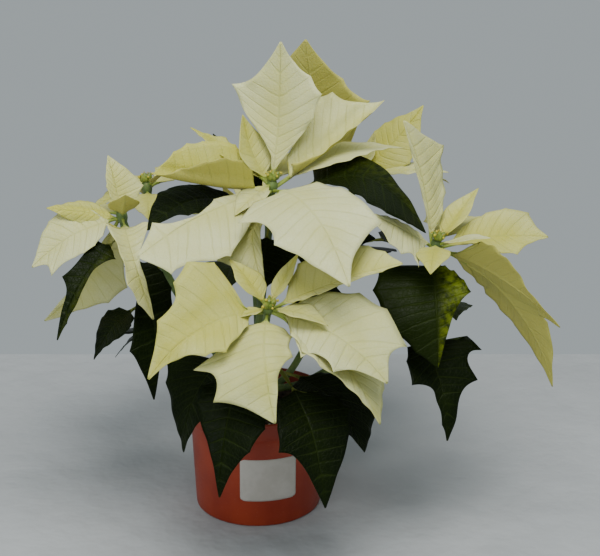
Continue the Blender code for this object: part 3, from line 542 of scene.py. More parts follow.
def shell_faces(rows: int, columns: int) -> np.ndarray:
    """Lays out the faces of a thin shell: its upper sheet, its lower sheet and the rim.

    Args:
        rows: How many rows of points each sheet has.
        columns: How many points there are in a row.

    Returns:
        The indices of each face's corners, with the upper sheet's points before the lower one's.
    """
    under = rows * columns
    index = np.arange(under).reshape(rows, columns)
    a, b, c, d = index[:-1, :-1], index[:-1, 1:], index[1:, 1:], index[1:, :-1]
    upper = np.stack([a, d, c, b], axis=-1).reshape(-1, 4)
    lower = np.stack([a, b, c, d], axis=-1).reshape(-1, 4) + under
    rim = np.concatenate([index[0], index[1:, -1], index[-1, -2::-1], index[-2:0:-1, 0]])
    following = np.roll(rim, -1)
    wall = np.stack([rim, following, following + under, rim + under], axis=-1)
    return np.concatenate([upper, lower, wall])


@dataclass(frozen=True)
class Skin:
    """How finely a blade is drawn, and the relief that its veins and its tissue give it."""

    rows_per_vein: int = 10
    vein_pairs: int = 2
    columns: int = 12
    column_power: float = 1.35
    petiole_rows: int = 7
    middle_thickness: float = 0.55
    rim_thickness: float = 0.26
    rib_thickness: float = 1.5
    rib_width: float = 1.1
    quilt: float = 0.016
    vein_sink: float = 0.25
    tip_fade: float = 1.5
    groove: float = 0.55
    groove_width: float = 1.8
    buckle: float = 0.022
    buckle_turns: tuple[float, float] = (2.1, 1.7)
    crinkle: float = 0.020
    crinkle_turns: float = 5.3
    phase_steps: tuple[float, float] = (0.13, 0.21)
    stalk_rows: float = 0.6
    least_round: float = 0.01
    vein_curve: float = 1.18

    def marks(self, blade: Blade) -> np.ndarray:
        """Finds the rows' places.

        Args:
            blade: The bract or leaf.

        Returns:
            The rows, counted in side veins from the neck, where the petiole's are below zero.
        """
        veins = len(blade.shape.value) - 1
        petiole = np.linspace(-1, 0, self.petiole_rows + 1)[:-1]
        return np.concatenate([petiole, np.linspace(0, veins, veins * self.rows_per_vein + 1)])

    @staticmethod
    def keys(blade: Blade, hand: int) -> np.ndarray:
        """Finds the places of one edge, or of the midrib.

        Args:
            blade: The bract or leaf.
            hand: 1 for the left edge, -1 for the right one, 0 for the midrib.

        Returns:
            Rows of (share of the whole length, millimetres out), from the root to the tip.
        """
        shape = blade.shape.value
        if hand == 0:
            rows = [(mid, 0.0) for mid, _, _ in shape]
        else:
            own = blade.left if hand > 0 else blade.right
            rows = [(along, out) for _, along, out in shape]
            rows = [rows[0], *own, rows[-1]] if own else rows
        half = blade.width / 2
        found = [(0.0, NECK_HALF_WIDTH * abs(hand))]
        for i, (along, out) in enumerate(rows):
            least = NECK_HALF_WIDTH * abs(hand) if i == 0 else 0.0
            found.append((blade.neck + (1 - blade.neck) * along, max(out * half, least)))
        return np.array(found) * np.array((1.0, hand if hand else 1.0))

    def sheet(self, root: np.ndarray, blade: Blade) -> tuple[np.ndarray, np.ndarray, np.ndarray]:
        """Lays out the blade's middle surface.

        Args:
            root: Where the blade starts, inside its stem.
            blade: The bract or leaf.

        Returns:
            The points as (row, column, axis), the marks of the rows and the columns' places across,
            from -1 at the right edge to 1 at the left one.
        """
        chord = np.array(blade.tip, float) - root
        length = float(np.linalg.norm(chord))
        ahead = chord / length
        upper = unit(UP - ahead[2] * ahead)
        left = np.cross(upper, ahead)
        marks = self.marks(blade)
        steps = np.linspace(-1, 1, 2 * self.columns + 1)
        across = np.sign(steps) * np.abs(steps) ** self.column_power
        middle = edge_curve(self.keys(blade, 0), marks + 1, length)
        along = np.empty((len(marks), len(across)))
        out = np.empty_like(along)
        for hand in (-1, 1):
            lobed = 0.0 if blade.shape is Outline.SMALL else float(hand)
            edge = edge_curve(self.keys(blade, hand), marks + 1, length, lobed)
            use = across * hand >= 0
            share = np.abs(across[use])[None, :]
            along[:, use] = middle[:, :1] + (edge[:, :1] - middle[:, :1]) * share**self.vein_curve
            out[:, use] = edge[:, 1:] * share
        grid = self.bent(blade, (root, length, ahead, left, upper), along, out)
        return grid, marks, across

    @staticmethod
    def bent(blade: Blade, frame: tuple, along: np.ndarray, out: np.ndarray) -> np.ndarray:
        """Bends the flat places into the blade's arched, rolled, folded and waved surface.

        Args:
            blade: The bract or leaf.
            frame: The root, the length, the direction, the left and the upper side's normal.
            along: The share of the length at each place.
            out: The millimetres to the left of the midrib at each place.

        Returns:
            The points, with the axis as the last index.
        """
        root, length, ahead, left, upper = frame
        bend = upper * blade.arch + left * blade.sway
        s = along[..., None]
        middle = root + ahead * length * s + bend * 4 * s * (1 - s) * length
        axis = unit(ahead + bend * 4 * (1 - 2 * s))
        side = unit(left - axis * (axis @ left)[..., None])
        normal = np.cross(axis, side)
        turn = np.radians(blade.roll + blade.twist * s)
        level, upright = side, normal
        side = level * np.cos(turn) + upright * np.sin(turn)
        normal = upright * np.cos(turn) - level * np.sin(turn)
        half = blade.width / 2
        share = np.abs(out) / half
        hand = np.where(out < 0, -1.0, 1.0)
        fold = (np.radians(blade.fold) * np.minimum(1.0, share / FOLD_REACH) * hand)[..., None]
        phase = WAVE_TURNS * along + WAVE_SHIFT * blade.tip[0] + hand
        wave = WAVE_SHARE * half * np.minimum(1.0, share) ** 2 * np.sin(phase)
        sideways = side * np.cos(fold) + normal * np.sin(fold)
        return middle + sideways * out[..., None] + normal * wave[..., None]

    def relief(self, blade: Blade, marks: np.ndarray, across: np.ndarray) -> np.ndarray:
        """Finds how far the tissue stands up between the veins, and how the blade buckles.

        Args:
            blade: The bract or leaf.
            marks: The rows, counted in side veins.
            across: The columns, from -1 to 1.

        Returns:
            Millimetres along the upper side's normal, row by column.
        """
        half = blade.width / 2
        q = marks[:, None]
        u = across[None, :]
        last = len(blade.shape.value) - 1
        body = np.clip(q, 0, 1) * np.clip((last - q) / self.tip_fade, 0, 1)
        turn = 2 * math.pi * q
        sink = self.vein_sink
        swell = 2 * sink - sink * np.cos(turn) - sink * np.cos(self.vein_pairs * turn)
        swell = swell * np.abs(u) ** 0.5 * (1 - np.abs(u) ** 3)
        groove = -self.groove * np.exp(-((u * half / self.groove_width) ** 2))
        phase = self.phase_steps[0] * blade.tip[0] + self.phase_steps[1] * blade.tip[1]
        buckle = np.sin(self.buckle_turns[0] * u + phase) * np.sin(self.buckle_turns[1] * q + 2 * phase)
        crinkle = np.abs(u) ** 4 * np.sin(self.crinkle_turns * q + 3 * phase + u)
        return body * (half * (self.quilt * swell + self.buckle * buckle + self.crinkle * crinkle) + groove)

    def thickness(self, blade: Blade, marks: np.ndarray, across: np.ndarray) -> np.ndarray:
        """Finds the blade's thickness: a round petiole, then thin tissue with a rib under it.

        Args:
            blade: The bract or leaf.
            marks: The rows, counted in side veins.
            across: The columns, from -1 to 1.

        Returns:
            Millimetres, row by column.
        """
        q = marks[:, None]
        u = across[None, :]
        last = len(blade.shape.value) - 1
        round_part = 2 * NECK_HALF_WIDTH * np.sqrt(np.maximum(self.least_round, 1 - u**2))
        tissue = self.rim_thickness + (self.middle_thickness - self.rim_thickness) * (1 - np.abs(u))
        taper = np.clip((last - q) / last, 0, 1)
        rib = self.rib_thickness * taper * np.exp(-((u * blade.width / 2 / self.rib_width) ** 2))
        blend = np.clip(q / self.stalk_rows, 0, 1)
        blend = blend * blend * (3 - 2 * blend)
        return round_part * (1 - blend) + (tissue + rib) * blend

    def solid(self, root: np.ndarray, blade: Blade) -> Solid:
        """Closes the blade's two faces into one thin solid.

        Args:
            root: Where the blade starts, inside its stem.
            blade: The bract or leaf.

        Returns:
            The solid, with its place map: across from 0 to 1, and along in ninths, one to a vein.
        """
        grid, marks, across = self.sheet(root, blade)
        normals = unit(np.cross(np.gradient(grid, axis=0), np.gradient(grid, axis=1)))
        grid = grid + normals * self.relief(blade, marks, across)[..., None]
        thick = self.thickness(blade, marks, across)[..., None]
        top = grid + normals * np.minimum(thick, NECK_HALF_WIDTH * 2) * 0.5
        bottom = grid - normals * thick * 0.5
        sideways, forward = (across[None, :] + 1) / 2, (marks[:, None] + 1) / PLACE_ROWS
        place = np.stack(np.broadcast_arrays(sideways, forward), axis=-1).reshape(-1, 2)
        tint = (TINT_STEPS[0] * abs(blade.tip[0]) + TINT_STEPS[1] * abs(blade.tip[2])) % 1.0
        return Solid(
            np.concatenate([top.reshape(-1, 3), bottom.reshape(-1, 3)]),
            shell_faces(*grid.shape[:2]),
            np.concatenate([place, place]),
            np.repeat([(0.0, tint, blade.tone), (1.0, tint, blade.tone)], len(place), axis=0),
        )


Socket = bpy.types.NodeSocket


@dataclass
class Wiring:
    """Short calls for making nodes in one tree and joining them."""

    tree: bpy.types.NodeTree

    def add(self, kind: str, **settings: object) -> bpy.types.Node:
        """Adds a node and sets its properties.

        Args:
            kind: Blender's name for the node's type.
            settings: The node's own properties.

        Returns:
            The new node.
        """
        node = self.tree.nodes.new(kind)
        for name, value in settings.items():
            setattr(node, name, value)
        return node

    def feed(self, node: bpy.types.Node, **inputs: object) -> bpy.types.Node:
        """Gives the node's inputs, by identifier, a socket or a fixed value.

        Args:
            node: The node.
            inputs: A socket or a value for each identifier, with _ for a space.

        Returns:
            The same node.
        """
        for name, value in inputs.items():
            known = {socket.identifier: socket for socket in node.inputs}
            socket = known.get(name) or known[name.replace("_", " ")]
            if isinstance(value, bpy.types.NodeSocket):
                self.tree.links.new(value, socket)
            else:
                socket.default_value = value
        return node

    def maths(
        self, operation: str, first: object, second: object = 0.0, third: object = 0.0
    ) -> Socket:
        """The result of one Math node."""
        node = self.add("ShaderNodeMath", operation=operation)
        return self.feed(node, Value=first, Value_001=second, Value_002=third).outputs[0]

    def remap(
        self, value: Socket, low: object, high: object, first: float = 0.0, last: float = 1.0
    ) -> Socket:
        """Turns a range of values smoothly into another.

        Args:
            value: What is read.
            low: Where the range starts.
            high: Where it ends.
            first: The result at its start.
            last: The result at its end.

        Returns:
            The remapped value.
        """
        node = self.add("ShaderNodeMapRange", interpolation_type="SMOOTHSTEP")
        node = self.feed(node, Value=value, From_Min=low, From_Max=high, To_Min=first, To_Max=last)
        return node.outputs[0]

    def blend(self, share: object, first: object, second: object) -> Socket:
        """Mixes two colours.

        Args:
            share: How much of the second colour there is.
            first: A colour socket, or a colour.
            second: A colour socket, or a colour.

        Returns:
            The mixed colour.
        """
        node = self.add("ShaderNodeMix", data_type="RGBA")
        first, second = (
            (*value, 1.0) if isinstance(value, tuple) and len(value) == 3 else value
            for value in (first, second)
        )
        return self.feed(node, Factor_Float=share, A_Color=first, B_Color=second).outputs[2]

    def noise(self, place: Socket, scale: float, detail: float, stretch: Spot = (1, 1, 1)) -> Socket:
        """Makes noise from a place.

        Args:
            place: The coordinates.
            scale: How many cells there are in a metre.
            detail: How many finer layers are added.
            stretch: How much each axis is scaled first.

        Returns:
            The noise's value.
        """
        mapping = self.feed(self.add("ShaderNodeMapping"), Vector=place, Scale=stretch)
        node = self.add("ShaderNodeTexNoise")
        return self.feed(node, Vector=mapping.outputs[0], Scale=scale, Detail=detail).outputs[0]

    def group(self, tree: bpy.types.NodeTree, **inputs: object) -> bpy.types.Node:
        """Places a group of nodes.

        Args:
            tree: The group.
            inputs: A socket or a value for each of its named inputs.

        Returns:
            The group's node.
        """
        node = self.add(self.tree.bl_idname.replace("Tree", "Group"), node_tree=tree)
        for name, value in inputs.items():
            if isinstance(value, bpy.types.NodeSocket):
                self.tree.links.new(value, node.inputs[name])
            else:
                node.inputs[name].default_value = value
        return node


def new_tree(name: str, kind: str, inputs: dict[str, tuple], outputs: dict[str, str]) -> Wiring:
    """Makes an empty tree with named inputs and outputs.

    Args:
        name: The tree's name.
        kind: ShaderNodeTree or GeometryNodeTree.
        inputs: The socket type and the usual value of each input.
        outputs: The socket type of each output.

    Returns:
        The wiring of the tree.
    """
    tree = bpy.data.node_groups.new(name, kind)
    for title, (socket_type, value) in inputs.items():
        socket = tree.interface.new_socket(title, in_out="INPUT", socket_type=socket_type)
        if value is not None:
            socket.default_value = value
    for title, socket_type in outputs.items():
        tree.interface.new_socket(title, in_out="OUTPUT", socket_type=socket_type)
    return Wiring(tree)


def tube_tree() -> bpy.types.NodeTree:
    """Builds the tree that runs a round tube along lines of points, as thick as they say.

    Returns:
        The tree.
    """
    wiring = new_tree(
        "tube along a path",
        "GeometryNodeTree",
        {
            "Geometry": ("NodeSocketGeometry", None),
            "Sides": ("NodeSocketInt", 12),
            "Material": ("NodeSocketMaterial", None),
        },
        {"Geometry": "NodeSocketGeometry"},
    )
    start = wiring.add("NodeGroupInput")
    curve = wiring.feed(wiring.add("GeometryNodeMeshToCurve"), Mesh=start.outputs["Geometry"])
    radius = wiring.feed(wiring.add("GeometryNodeInputNamedAttribute", data_type="FLOAT"), Name="radius")
    ring = wiring.feed(
        wiring.add("GeometryNodeCurvePrimitiveCircle"), Resolution=start.outputs["Sides"], Radius=1.0
    )
    tube = wiring.feed(
        wiring.add("GeometryNodeCurveToMesh"),
        Curve=curve.outputs[0],
        Profile_Curve=ring.outputs[0],
        Scale=radius.outputs[0],
        Fill_Caps=True,
    )
    return ended(wiring, tube.outputs[0], start.outputs["Material"])


def ended(wiring: Wiring, geometry: Socket, material: Socket) -> bpy.types.NodeTree:
    """Ends a geometry tree: smooth faces, real instances and a material.

    Args:
        wiring: The tree's wiring.
        geometry: What the tree has made.
        material: The material's socket.

    Returns:
        The finished tree.
    """
    smooth = wiring.feed(wiring.add("GeometryNodeSetShadeSmooth"), Geometry=geometry)
    real = wiring.feed(wiring.add("GeometryNodeRealizeInstances"), Geometry=smooth.outputs[0])
    dressed = wiring.feed(
        wiring.add("GeometryNodeSetMaterial"), Geometry=real.outputs[0], Material=material
    )
    end = wiring.add("NodeGroupOutput")
    wiring.tree.links.new(dressed.outputs[0], end.inputs[0])
    return wiring.tree


def bud_tree() -> bpy.types.NodeTree:
    """Builds the tree that puts a rounded bud on every point, aimed and sized as the point says.

    Returns:
        The tree.
    """
    wiring = new_tree(
        "buds on points",
        "GeometryNodeTree",
        {
            "Geometry": ("NodeSocketGeometry", None),
            "Length": ("NodeSocketFloat", 0.008),
            "Radius": ("NodeSocketFloat", 0.003),
            "Waist": ("NodeSocketFloat", 0.3),
            "Sides": ("NodeSocketInt", 8),
            "Rings": ("NodeSocketInt", 8),
            "Material": ("NodeSocketMaterial", None),
        },
        {"Geometry": "NodeSocketGeometry"},
    )
    start = wiring.add("NodeGroupInput")
    top = wiring.feed(wiring.add("ShaderNodeCombineXYZ"), Z=start.outputs["Length"])
    line = wiring.feed(wiring.add("GeometryNodeCurvePrimitiveLine"), End=top.outputs[0])
    steps = wiring.feed(
        wiring.add("GeometryNodeResampleCurve"), Curve=line.outputs[0], Count=start.outputs["Rings"]
    )
    share = wiring.add("GeometryNodeSplineParameter").outputs[0]
    turn = wiring.maths("MULTIPLY_ADD", wiring.maths("POWER", share, BUD_POWER), BUD_TURN, BUD_START)
    swell = wiring.maths("SINE", turn)
    waist = start.outputs["Waist"]
    rest = wiring.maths("SUBTRACT", 1.0, waist)
    full = wiring.maths("ADD", waist, wiring.maths("MULTIPLY", rest, swell))
    radius = wiring.maths("MULTIPLY", start.outputs["Radius"], full)
    ring = wiring.feed(
        wiring.add("GeometryNodeCurvePrimitiveCircle"), Resolution=start.outputs["Sides"], Radius=1.0
    )
    bud = wiring.feed(
        wiring.add("GeometryNodeCurveToMesh"),
        Curve=steps.outputs[0],
        Profile_Curve=ring.outputs[0],
        Scale=radius,
        Fill_Caps=True,
    )
    aim = wiring.add("GeometryNodeInputNamedAttribute", data_type="FLOAT_VECTOR")
    aim = wiring.feed(aim, Name="aim")
    size = wiring.feed(wiring.add("GeometryNodeInputNamedAttribute", data_type="FLOAT"), Name="size")
    turned = wiring.feed(wiring.add("FunctionNodeAlignRotationToVector", axis="Z"), Vector=aim.outputs[0])
    spots = wiring.feed(
        wiring.add("GeometryNodeInstanceOnPoints"),
        Points=start.outputs["Geometry"],
        Instance=bud.outputs[0],
        Rotation=turned.outputs[0],
        Scale=size.outputs[0],
    )
    return ended(wiring, spots.outputs[0], start.outputs["Material"])


def placed(name: str, data: bpy.types.ID) -> bpy.types.Object:
    """Makes an object of a mesh, a light or a camera and puts it in the scene, at the origin.

    Args:
        name: The object's name.
        data: What it shows.

    Returns:
        The object.
    """
    node = bpy.data.objects.new(name, data)
    bpy.context.scene.collection.objects.link(node)
    return node


def grown(name: str, tree: bpy.types.NodeTree, base: bpy.types.Mesh, **inputs: object) -> bpy.types.Mesh:
    """Runs a geometry tree on a mesh and keeps the result as a plain mesh.

    Args:
        name: The result's name.
        tree: The geometry tree.
        base: The mesh of points or lines that it starts from.
        inputs: A value for each of its named inputs.

    Returns:
        The plain mesh.
    """
    helper = placed(name, base)
    modifier = helper.modifiers.new("grow", "NODES")
    modifier.node_group = tree
    known = {item.name: item.identifier for item in tree.interface.items_tree if item.in_out == "INPUT"}
    for title, value in inputs.items():
        modifier[known[title]] = value
    graph = bpy.context.evaluated_depsgraph_get()
    mesh = bpy.data.meshes.new_from_object(helper.evaluated_get(graph))
    bpy.data.objects.remove(helper)
    bpy.data.meshes.remove(base)
    mesh.name = name
    return mesh


def line_mesh(line: np.ndarray, radii: np.ndarray) -> bpy.types.Mesh:
    """Makes a mesh of one open line for the tube tree.

    Args:
        line: The points of the line, in millimetres.
        radii: The tube's radius at each of them.

    Returns:
        The mesh, with the radius as an attribute.
    """
    mesh = bpy.data.meshes.new("line")
    mesh.from_pydata((line * MM).tolist(), [(i, i + 1) for i in range(len(line) - 1)], [])
    radius = mesh.attributes.new("radius", "FLOAT", "POINT")
    radius.data.foreach_set("value", (radii * MM).astype(np.float32))
    return mesh


def point_mesh(spots: list[tuple[np.ndarray, np.ndarray, float]]) -> bpy.types.Mesh:
    """Makes a mesh of loose points for the bud tree.

    Args:
        spots: The place in millimetres, the direction and the size of each bud.

    Returns:
        The mesh, with the directions and sizes as attributes.
    """
    mesh = bpy.data.meshes.new("spots")
    mesh.from_pydata([(spot * MM).tolist() for spot, _, _ in spots], [], [])
    aims = np.array([aim for _, aim, _ in spots], dtype=np.float32)
    sizes = np.array([size for _, _, size in spots], dtype=np.float32)
    mesh.attributes.new("aim", "FLOAT_VECTOR", "POINT").data.foreach_set("vector", aims.ravel())
    mesh.attributes.new("size", "FLOAT", "POINT").data.foreach_set("value", sizes)
    return mesh


def piece(name: str, meshes: list[bpy.types.Mesh], node: str) -> None:
    """Joins meshes into one piece of the part and gives it its place in the model.

    Args:
        name: The piece's name.
        meshes: Its meshes, each with its own material.
        node: The CAD node that it stands for.
    """
    parts = [placed(name, mesh) for mesh in meshes]
    if len(parts) > 1:
        with bpy.context.temp_override(
            active_object=parts[0], selected_editable_objects=parts, object=parts[0]
        ):
            bpy.ops.object.join()
    whole = parts[0]
    whole.name = name
    whole.data.name = name
    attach(whole, BODY)
    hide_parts(node)
    whole.data.calc_loop_triangles()
    LOG.info("%s: %d triangles", name, len(whole.data.loop_triangles))


def vein_group() -> bpy.types.NodeTree:
    """Builds the group that draws a blade's veins from its place map.

    Returns:
        The group, which gives masks of the side veins and midrib, the fine net and the middle.
    """
    wiring = new_tree(
        "leaf veins",
        "ShaderNodeTree",
        {
            "Place": ("NodeSocketVector", None),
            "Position": ("NodeSocketVector", None),
            "Vein Width": ("NodeSocketFloat", 0.10),
            "Fine Share": ("NodeSocketFloat", 0.6),
            "Net Scale": ("NodeSocketFloat", 330.0),
        },
        {"Vein": "NodeSocketFloat", "Net": "NodeSocketFloat", "Centre": "NodeSocketFloat"},
    )
    start = wiring.add("NodeGroupInput")
    place = wiring.feed(wiring.add("ShaderNodeSeparateXYZ"), Vector=start.outputs["Place"])
    wobble = wiring.noise(start.outputs["Position"], VEIN_WOBBLE_SCALE, 2.0)
    wobble = wiring.maths("MULTIPLY_ADD", wobble, VEIN_WOBBLE, -VEIN_WOBBLE / 2)
    side = wiring.maths("ABSOLUTE", wiring.maths("MULTIPLY_ADD", place.outputs[0], 2.0, -1.0))
    row = wiring.maths("ADD", wiring.maths("MULTIPLY", place.outputs[1], PLACE_ROWS), wobble)
    away = wiring.maths("PINGPONG", row, 0.5)
    between = wiring.maths("SUBTRACT", 0.5, away)
    narrowing = wiring.remap(side, 0.0, 1.0, 1.0, VEIN_EDGE_WIDTH)
    width = wiring.maths("MULTIPLY", start.outputs["Vein Width"], narrowing)
    branch = wiring.remap(away, 0.0, width, 1.0, 0.0)
    fine = wiring.remap(between, 0.0, width, 1.0, 0.0)
    fine = wiring.maths("MULTIPLY", fine, start.outputs["Fine Share"])
    branch = wiring.maths("MAXIMUM", branch, fine)
    fading = wiring.remap(side, VEIN_FADE_FROM, 1.0, 1.0, VEIN_EDGE_SHARE)
    branch = wiring.maths("MULTIPLY", branch, fading)
    midrib = wiring.remap(side, 0.0, MIDRIB_WIDTH, 1.0, 0.0)
    vein = wiring.maths("MAXIMUM", branch, midrib)
    cells = wiring.add("ShaderNodeTexVoronoi", feature="DISTANCE_TO_EDGE")
    cells = wiring.feed(cells, Vector=start.outputs["Position"], Scale=start.outputs["Net Scale"])
    net = wiring.remap(cells.outputs[0], 0.0, NET_WIDTH, 1.0, 0.0)
    centre = wiring.remap(side, 0.0, VEIN_FADE_FROM, 1.0, 0.0)
    end = wiring.add("NodeGroupOutput")
    for title, value in (("Vein", vein), ("Net", net), ("Centre", centre)):
        wiring.tree.links.new(value, end.inputs[title])
    return wiring.tree


def mottle_group() -> bpy.types.NodeTree:
    """Builds the group of uneven tone.

    Returns:
        The group, which gives broad clouds, fine grain and small specks.
    """
    wiring = new_tree(
        "mottling",
        "ShaderNodeTree",
        {
            "Position": ("NodeSocketVector", None),
            "Cloud Scale": ("NodeSocketFloat", 30.0),
            "Grain Scale": ("NodeSocketFloat", 900.0),
            "Speck Scale": ("NodeSocketFloat", 420.0),
        },
        {"Cloud": "NodeSocketFloat", "Grain": "NodeSocketFloat", "Speck": "NodeSocketFloat"},
    )
    start = wiring.add("NodeGroupInput")
    position = start.outputs["Position"]
    cloud = wiring.add("ShaderNodeTexNoise")
    cloud = wiring.feed(cloud, Vector=position, Scale=start.outputs["Cloud Scale"], Detail=4.0)
    cloud = wiring.remap(cloud.outputs[0], *CLOUD_RANGE)
    grain = wiring.add("ShaderNodeTexNoise")
    grain = wiring.feed(grain, Vector=position, Scale=start.outputs["Grain Scale"], Detail=3.0)
    speck = wiring.add("ShaderNodeTexVoronoi")
    speck = wiring.feed(speck, Vector=position, Scale=start.outputs["Speck Scale"])
    speck = wiring.remap(speck.outputs[0], *SPECK_RANGE, 1.0, 0.0)
    end = wiring.add("NodeGroupOutput")
    for title, value in (("Cloud", cloud), ("Grain", grain.outputs[0]), ("Speck", speck)):
        wiring.tree.links.new(value, end.inputs[title])
    return wiring.tree


@dataclass(frozen=True)
class Groups:
    """The shared node groups."""

    veins: bpy.types.NodeTree
    mottle: bpy.types.NodeTree


class Finish:
    """The start of every finish: a material with its Principled shader and its coordinates."""

    def __init__(self, name: str, groups: Groups) -> None:
        """Makes the material.

        Args:
            name: The material's name.
            groups: The shared node groups.
        """
        self.groups = groups
        self.material = bpy.data.materials.new(name)
        self.material.use_nodes = True
        self.wiring = Wiring(self.material.node_tree)
        self.shader = self.material.node_tree.nodes["Principled BSDF"]
        self.position = self.wiring.add("ShaderNodeTexCoord").outputs["Object"]

    def attribute(self, name: str) -> Socket:
        """Reads the value of the mesh attribute with this name."""
        return self.wiring.add("ShaderNodeAttribute", attribute_name=name).outputs["Fac"]

    def mottle(self, clouds: float, grain: float, specks: float) -> bpy.types.Node:
        """Places the mottling group with these numbers of clouds, grains and specks in a metre."""
        scales = {"Cloud Scale": clouds, "Grain Scale": grain, "Speck Scale": specks}
        return self.wiring.group(self.groups.mottle, Position=self.position, **scales)

    def set(self, **values: object) -> None:
        """Gives the shader's inputs, by name with _ for a space, a socket or a fixed value."""
        self.wiring.feed(self.shader, **values)

    def bump(self, height: Socket, depth_mm: float) -> None:
        """Lets a pattern stand up from the surface.

        Args:
            height: The pattern, from 0 to 1.
            depth_mm: How far it stands up, in millimetres.
        """
        node = self.wiring.add("ShaderNodeBump")
        self.wiring.feed(node, Height=height, Strength=1.0, Distance=depth_mm * MM)
        self.set(Normal=node.outputs[0])


@dataclass(frozen=True)
class BladeFinish:
    """A veined blade: tissue, veins, underside and the stalk's colour near the neck, with painted light: a
    darker underside that is painted shade on bracts, and a painted patch of light shining through leaves.
    """

    name: str
    pale: Colour
    deep: Colour
    vein: Colour
    under: Colour
    stalk: Colour
    # The colour of a painted patch of light shining through the blade, and how much of it and where.
    painted_glow: Colour
    tone_share: float
    painted_glow_share: float
    vein_share: float
    roughness: float
    specular: float
    glow: float
    bump_mm: float
    glow_reach: Colour = (1.0, 0.8, 0.35)
    glow_depth: float = 1.6
    mottle_scales: tuple[float, float, float] = (34.0, 1100.0, 260.0)
    tone_start: float = -0.05
    tint_share: float = 0.15
    cloud_share: float = 0.25
    centre_share: float = 0.2
    painted_glow_side: tuple[float, float] = (0.45, 0.85)
    glow_fleck_scale: float = 190.0
    glow_fleck_range: tuple[float, float] = (0.28, 0.68)
    net_share: float = 0.35
    under_vein_share: float = 0.8
    stalk_rows: tuple[float, float] = (0.10, 0.19)
    grain_range: tuple[float, float] = (0.2, 0.8)
    roughness_swing: float = 0.09
    vein_roughness: float = 0.08
    grain_bump: float = 0.3

    def material(self, groups: Groups) -> bpy.types.Material:
        """Builds the material.

        Args:
            groups: The shared node groups.

        Returns:
            The material.
        """
        finish = Finish(self.name, groups)
        wiring = finish.wiring
        place = wiring.add("ShaderNodeTexCoord").outputs["UV"]
        veins = wiring.group(groups.veins, Place=place, Position=finish.position)
        mottle = finish.mottle(*self.mottle_scales)
        across, row, _ = wiring.feed(wiring.add("ShaderNodeSeparateXYZ"), Vector=place).outputs
        # The tone: the blade's own tone, which on bracts is partly painted shade and painted light shining
        # through, plus a random tint, clouds and a deeper middle.
        own = finish.attribute("tone")
        tone = wiring.maths("MULTIPLY_ADD", own, self.tone_share, self.tone_start)
        tone = wiring.maths("MULTIPLY_ADD", finish.attribute("tint"), self.tint_share, tone)
        tone = wiring.maths("MULTIPLY_ADD", mottle.outputs["Cloud"], self.cloud_share, tone)
        tone = wiring.maths("MULTIPLY_ADD", veins.outputs["Centre"], self.centre_share, tone)
        colour = wiring.blend(wiring.maths("MINIMUM", tone, 1.0), self.pale, self.deep)
        # Painted light: where the tone is high, a flecked yellow-green patch over the outer left half stands
        # in for light shining through the leaf.
        painted_glow = wiring.maths("MULTIPLY", own, wiring.remap(across, *self.painted_glow_side, 0.0, self.painted_glow_share))
        glow_flecks = wiring.remap(wiring.noise(finish.position, self.glow_fleck_scale, 5.0), *self.glow_fleck_range)
        colour = wiring.blend(wiring.maths("MULTIPLY", painted_glow, glow_flecks), colour, self.painted_glow)
        thin = wiring.maths("MULTIPLY", veins.outputs["Net"], self.vein_share * self.net_share)
        mask = wiring.maths("MAXIMUM", wiring.maths("MULTIPLY", veins.outputs["Vein"], self.vein_share), thin)
        colour = wiring.blend(mask, colour, self.vein)
        # The underside: on bracts a darker olive that is painted shade, on leaves the leaf's own paler green,
        # with its veins.
        below = wiring.maths("MULTIPLY", mask, self.under_vein_share)
        below = wiring.blend(below, self.under, self.vein)
        colour = wiring.blend(finish.attribute("under"), colour, below)
        foot = wiring.remap(row, *self.stalk_rows, 1.0, 0.0)
        colour = wiring.blend(foot, colour, self.stalk)
        finish.set(Base_Color=colour, Subsurface_Weight=self.glow, Specular_IOR_Level=self.specular)
        if self.glow:
            finish.set(Subsurface_Radius=self.glow_reach, Subsurface_Scale=self.glow_depth * MM)
        grain = mottle.outputs["Grain"]
        low, high = self.roughness - self.roughness_swing, self.roughness + self.roughness_swing
        rough = wiring.remap(grain, *self.grain_range, low, high)
        finish.set(Roughness=wiring.maths("ADD", rough, wiring.maths("MULTIPLY", mask, self.vein_roughness)))
        height = wiring.maths("MULTIPLY_ADD", veins.outputs["Vein"], -1.0, 1.0)
        sunk = wiring.maths("MULTIPLY", veins.outputs["Net"], -self.net_share)
        height = wiring.maths("ADD", height, sunk)
        height = wiring.maths("ADD", height, wiring.maths("MULTIPLY", grain, self.grain_bump))
        finish.bump(height, self.bump_mm)
        return finish.material


